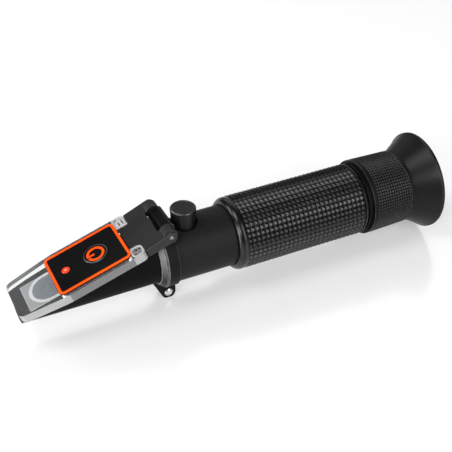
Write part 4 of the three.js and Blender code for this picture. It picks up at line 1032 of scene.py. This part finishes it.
plateSizes = {
    "front": -60.3, "back": -10.55, "taper": -42.2, "frontHalf": 9.7, "half": 12.4, "top": 1.05, "bottom": -2.4,
    "frontCorner": 2.0, "backCorner": 1.6, "tongueTop": -0.95, "tabInner": 6.25, "nearInner": 6.85,
    "tabRound": 1.7, "pocketFloor": -1.8, "edge": 0.18,
}
tabPockets = (  # front, rear, inner edge, outer edge, floor: small hollows in the two rear corners
    (-13.6, -12.9, 7.4, 9.6, -1.6), (-12.2, -11.5, 7.4, 10.2, -1.2), (-15.1, -13.4, 10.75, 11.5, -1.5),
)
tabRim = {
    "front": -15.5, "rear": -10.65, "inner": 6.6, "nearInner": 7.15, "outer": 12.3, "width": 0.75,
    "bottom": 0.75, "top": 1.25, "corner": 1.6, "innerCorner": 0.9, "edge": 0.2,
}
lampSizes = {
    "centre": -29.72, "length": 28.8, "width": 21.6, "top": 1.7, "height": 3.35, "frame": 1.05, "corner": 2.0,
    "innerCorner": 0.9, "inset": 0.15, "panel": 0.8, "cover": 0.45, "bezel": 0.35, "gap": 0.15, "ledge": 0.7,
    "gasketInner": 0.01, "gasketOuter": 0.16, "gasketTop": 1.02, "edge": 0.22,
    "panelGap": 0.05, "panelEdge": 0.06,
}


# The plate's outer walls and tabs are duller than its top, and carry painted shade and painted light: tone 1,
# the painted shade, is darker than tone 2, the painted light.
def paintPlateLightAndShade(plate):
    s = Sizes(**plateSizes)
    taper = s.taper + 1
    for cut in (tabRim["front"], taper):
        bmesh.ops.bisect_plane(
            plate, geom=[*plate.verts, *plate.edges, *plate.faces], plane_co=(cut, 0, 0), plane_no=(1, 0, 0),
        )
    for face in plate.faces:
        middle = face.calc_center_median()
        reach = abs(middle.y)
        outerWall = abs(face.normal.z) < 0.3 and face.normal.y * middle.y > 0.1
        # Straight outer walls take the painted shade, the tapered and rounded ones the painted light.
        if outerWall and reach > s.frontHalf - 0.8:
            straight = taper < middle.x < tabRim["front"]
            flush = straight and reach > s.half - 0.1
            if flush or middle.x < taper or reach > s.half - s.backCorner:
                face.material_index = 1 if straight else 2
        # On the tabs the near and the far side take the painted shade and light the opposite way round.
        if face.normal.z > 0.9 and middle.x > tabRim["front"] and reach > s.tabInner:
            raised = middle.z > s.top - 0.1
            face.material_index = 1 if raised == (middle.y < 0) else 2


def makePlate():
    s, lamp = Sizes(**plateSizes), Sizes(**lampSizes)
    plate = extrude([
        (s.front, -s.frontHalf, s.frontCorner), (s.taper, -s.half, s.frontCorner),
        (s.back, -s.half, s.backCorner), (s.back, s.half, s.backCorner), (s.taper, s.half, s.frontCorner),
        (s.front, s.frontHalf, s.frontCorner),
    ], s.bottom, s.top)
    half = lamp.length / 2 + lamp.gap
    start, end = lamp.centre - half, lamp.centre + half
    room = rectangle(start, end, lamp.width / 2 + lamp.gap, lamp.corner)
    pocket = extrude(room, s.pocketFloor, s.top + 2)
    step = fourCorners(end - lamp.corner, s.back + 2, -s.nearInner, s.tabInner)
    plate = carve(plate, pocket, extrude(step, s.tongueTop, s.top + 3))
    # the near tab's rounded inner corner
    inX, inY, outX, outY = s.back - s.tabRound, -s.nearInner - s.tabRound, s.back, -s.nearInner
    corner = extrude(fourCorners(inX, outX + 1, inY, outY + 1), -4, 4)
    plate = carve(plate, carve(corner, rod(s.tabRound, -5, 5, 48, (inX, inY, 0))))
    for hand in (-1, 1):
        for x0, x1, y0, y1, low in tabPockets:
            near, far = sorted((hand * y0, hand * y1))
            plate = carve(plate, extrude(fourCorners(x0, x1, near, far), low, s.top + 1))
    paintPlateLightAndShade(plate)
    soften(plate, s.edge, 2, 35)
    place(
        "clearPlate", plate, coverFrame, "cover", "clearAcrylic", "daylight_plate", slot="clear_plastic",
        more=("shadedAcrylic", "litAcrylic"),
    )


# Raised rims on the plate's two rear tabs
def makeTabRims():
    s = Sizes(**tabRim)
    for name, hand, inner in (("tabRimNear", -1, s.nearInner), ("tabRimFar", 1, s.inner)):
        forms = []
        for inset, corner, reach in ((0, s.corner, 0), (s.width, s.innerCorner, 1)):
            near, far = sorted((hand * (inner + inset), hand * (s.outer - inset)))
            outline = fourCorners(s.front + inset, s.rear - inset, near, far, corner)
            forms.append(extrude(outline, s.bottom - reach, s.top + reach))
        rim = carve(*forms)
        soften(rim, s.edge, 3)
        place(name, rim, coverFrame, "cover", "cloudyAcrylic", slot="clear_plastic")


# Lamp unit: along is from its middle, and drops are from the panel's top or underside.
buttonSizes = {
    "along": 3.46, "hole": 4.75, "rimOuter": 4.68, "rimInner": 4.2, "rimSlope": 4.3, "rimDrop": 0.02,
    "rimStand": 0.18, "cap": 4.1, "capDrop": 0.25, "flange": 4.6, "flangeTop": 0.1, "flangeDrop": 0.35,
    "stem": 1.1, "stemEnd": 0.25, "rimEdge": 0.05, "capEdge": 0.12,
}
lightSizes = {
    "along": -8.66, "hole": 1.65, "radius": 1.55, "flange": 2.0, "flangeTop": 0.1, "flangeDrop": 0.3,
    "dome": 0.14, "pale": (1, 0.42, 0.3), "paleReach": 1.7,
}
signSizes = {
    "inner": 2.5, "outer": 3.5, "gap": 19, "farGap": 8, "barStart": -3.5, "barEnd": -0.35, "barHalf": 0.4,
    "barRound": 0.3, "height": 0.06, "sink": 0.05, "aside": 0.1,
}


def makeLamp():
    s = Sizes(**lampSizes)
    half = s.length / 2

    def outline(inset, corner):
        return rectangle(s.centre - half + inset, s.centre + half - inset, s.width / 2 - inset, corner)

    low = s.top - s.height
    panelTop = s.top - s.inset
    panelBottom = panelTop - s.panel
    inside = outline(s.frame, s.innerCorner)
    case = extrude(outline(0, s.corner), low, s.top)
    well = extrude(inside, panelBottom - s.gap, s.top + 1)
    shaft = extrude(outline(s.frame + s.ledge, s.innerCorner), low - 1, s.top)
    recess = extrude(inside, low - 1, low + s.cover + s.gap)
    case = carve(case, well, shaft, recess)
    soften(case, s.edge, 3)
    split = s.top - s.bezel
    bezel = case.copy()
    cutLevel(case, split, keepAbove=False)
    cutLevel(bezel, split, keepAbove=True)
    place("lampCase", case, coverFrame, "cover", "glossBlack", "lamp_frame", slot="orange_plastic")
    place("lampBezel", bezel, coverFrame, "cover", "orangePlastic", slot="orange_plastic")
    gasket = carve(
        extrude(outline(-s.gasketOuter, s.corner + s.gap), low, s.gasketTop),
        extrude(outline(-s.gasketInner, s.corner), low - 1, 2),
    )
    place("lampGasket", gasket, coverFrame, "cover", "glossBlack", slot="black_plastic")
    b, e = Sizes(**buttonSizes), Sizes(**lightSizes)
    button, light = (s.centre + b.along, 0, 0), (s.centre + e.along, 0, 0)
    panel = extrude(outline(s.frame + s.panelGap, s.innerCorner), panelBottom, panelTop)
    panel = carve(panel, rod(b.hole, -5, 5, centre=button), rod(e.hole, -5, 5, 40, light))
    soften(panel, s.panelEdge)
    place("panelSheet", panel, coverFrame, "cover", "panelBlack", "lamp_panel", slot="gloss_black")
    ring = turn([
        (b.rimInner, panelBottom), (b.rimOuter, panelBottom), (b.rimOuter, panelTop - b.rimDrop),
        (b.rimSlope, panelTop + b.rimStand), (b.rimInner, panelTop + b.rimStand),
    ], upright=True, centre=button)
    soften(ring, b.rimEdge, 2, 30)
    place("buttonRim", ring, coverFrame, "cover", "greyPlastic", "button_ring", slot="grey_plastic")
    capTop = panelTop - b.capDrop
    flangeLow, flangeTop = panelBottom - b.flangeDrop, panelBottom - b.flangeTop
    cap = turn([
        (0, b.stemEnd), (b.stem, b.stemEnd), (b.stem, flangeLow), (b.flange, flangeLow), (b.flange, flangeTop),
        (b.cap, flangeTop), (b.cap, capTop), (b.cap - 0.2, capTop), (0, capTop),
    ], upright=True, centre=button, closed=False)
    soften(cap, b.capEdge, 3)
    place("buttonCap", cap, coverFrame, "power_button", "panelBlack", "power_button", slot="gloss_black")
    flangeLow, flangeTop = panelBottom - e.flangeDrop, panelBottom - e.flangeTop
    lens = turn([
        (0, flangeLow), (e.flange, flangeLow), (e.flange, flangeTop), (e.radius, flangeTop),
        *arcPoints((e.radius, panelTop), (0, panelTop + e.dome)),
    ], steps=48, upright=True, centre=light, closed=False)
    place("lightLens", lens, coverFrame, "cover", "redLens", "indicator_lens", slot="red_lens")
    middle = coverFrame @ Vector((light[0], 0, panelTop))
    paleMiddle(materials["redLens"], middle, e.paleReach * mm, e.pale)
    mark = powerMark()
    mark.transform(Matrix.Translation((button[0], signSizes["aside"], capTop)))
    place("powerSign", mark, coverFrame, "power_button", "orangePlastic", slot="orange_plastic")


# The usual sign for on and off: an open ring with a bar in its gap, pointing down the slope.
def powerMark():
    s = Sizes(**signSizes)
    start, end = math.radians(180 + s.gap), math.radians(540 - s.farGap)
    outer, inner = (arc(0, 0, radius, start, end, 60) for radius in (s.outer, s.inner))
    ring = extrude(outer + inner[::-1], -s.sink, s.height)
    stroke = rectangle(s.barStart, s.barEnd, s.barHalf, s.barRound)
    return carve(ring, extrude(stroke, -s.sink, s.height), how="UNION")


# Nodes that keep their own shape and get a finish
keptFinishes = {
    "bimetal_strip": "turnedBrass", "strip_screw": "plainSteel", "reticle_holder": "turnedBrass",
    "reticle": "opticalGlass", "calibration_bush": "turnedBrass", "guide_pin": "plainSteel",
    "calibration_screw": "plainSteel", "objective_cell": "turnedBrass", "objective_lens": "opticalGlass",
    "barrel_clip": "plainSteel", "field_lens": "opticalGlass", "lens_spacer": "coatedBlack",
    "lens_retainer": "glossBlack", "circuit_board": "boardGreen", "tactile_switch": "plainSteel",
    "indicator_chip": "lampWhite", "light_chip": "lampWhite", "button_cell_left": "plainSteel",
    "button_cell_right": "plainSteel", "lamp_back_cover": "mouldedBlack",
}


def dressNodes():
    for name, finish in keptFinishes.items():
        nodes[name].data.materials.clear()
        nodes[name].data.materials.append(materials[finish])


for makeStudio in (makeCamera, makeLamps, makeWorld, makeFloor):
    makeStudio()
print("studio ready:", len(lamps), "lamps")
for makePiece in (
    makePrismHead, makePrism, makeClampBand, makeClampScrew, makeHingePin, makeMainTube, makeKnob, makeGrip,
    makeFocusRing, makeEyecup, makeEyepiece, makeBracket, makePlate, makeTabRims, makeLamp, dressNodes,
):
    makePiece()

bpy.context.scene.view_settings.view_transform = "Standard"
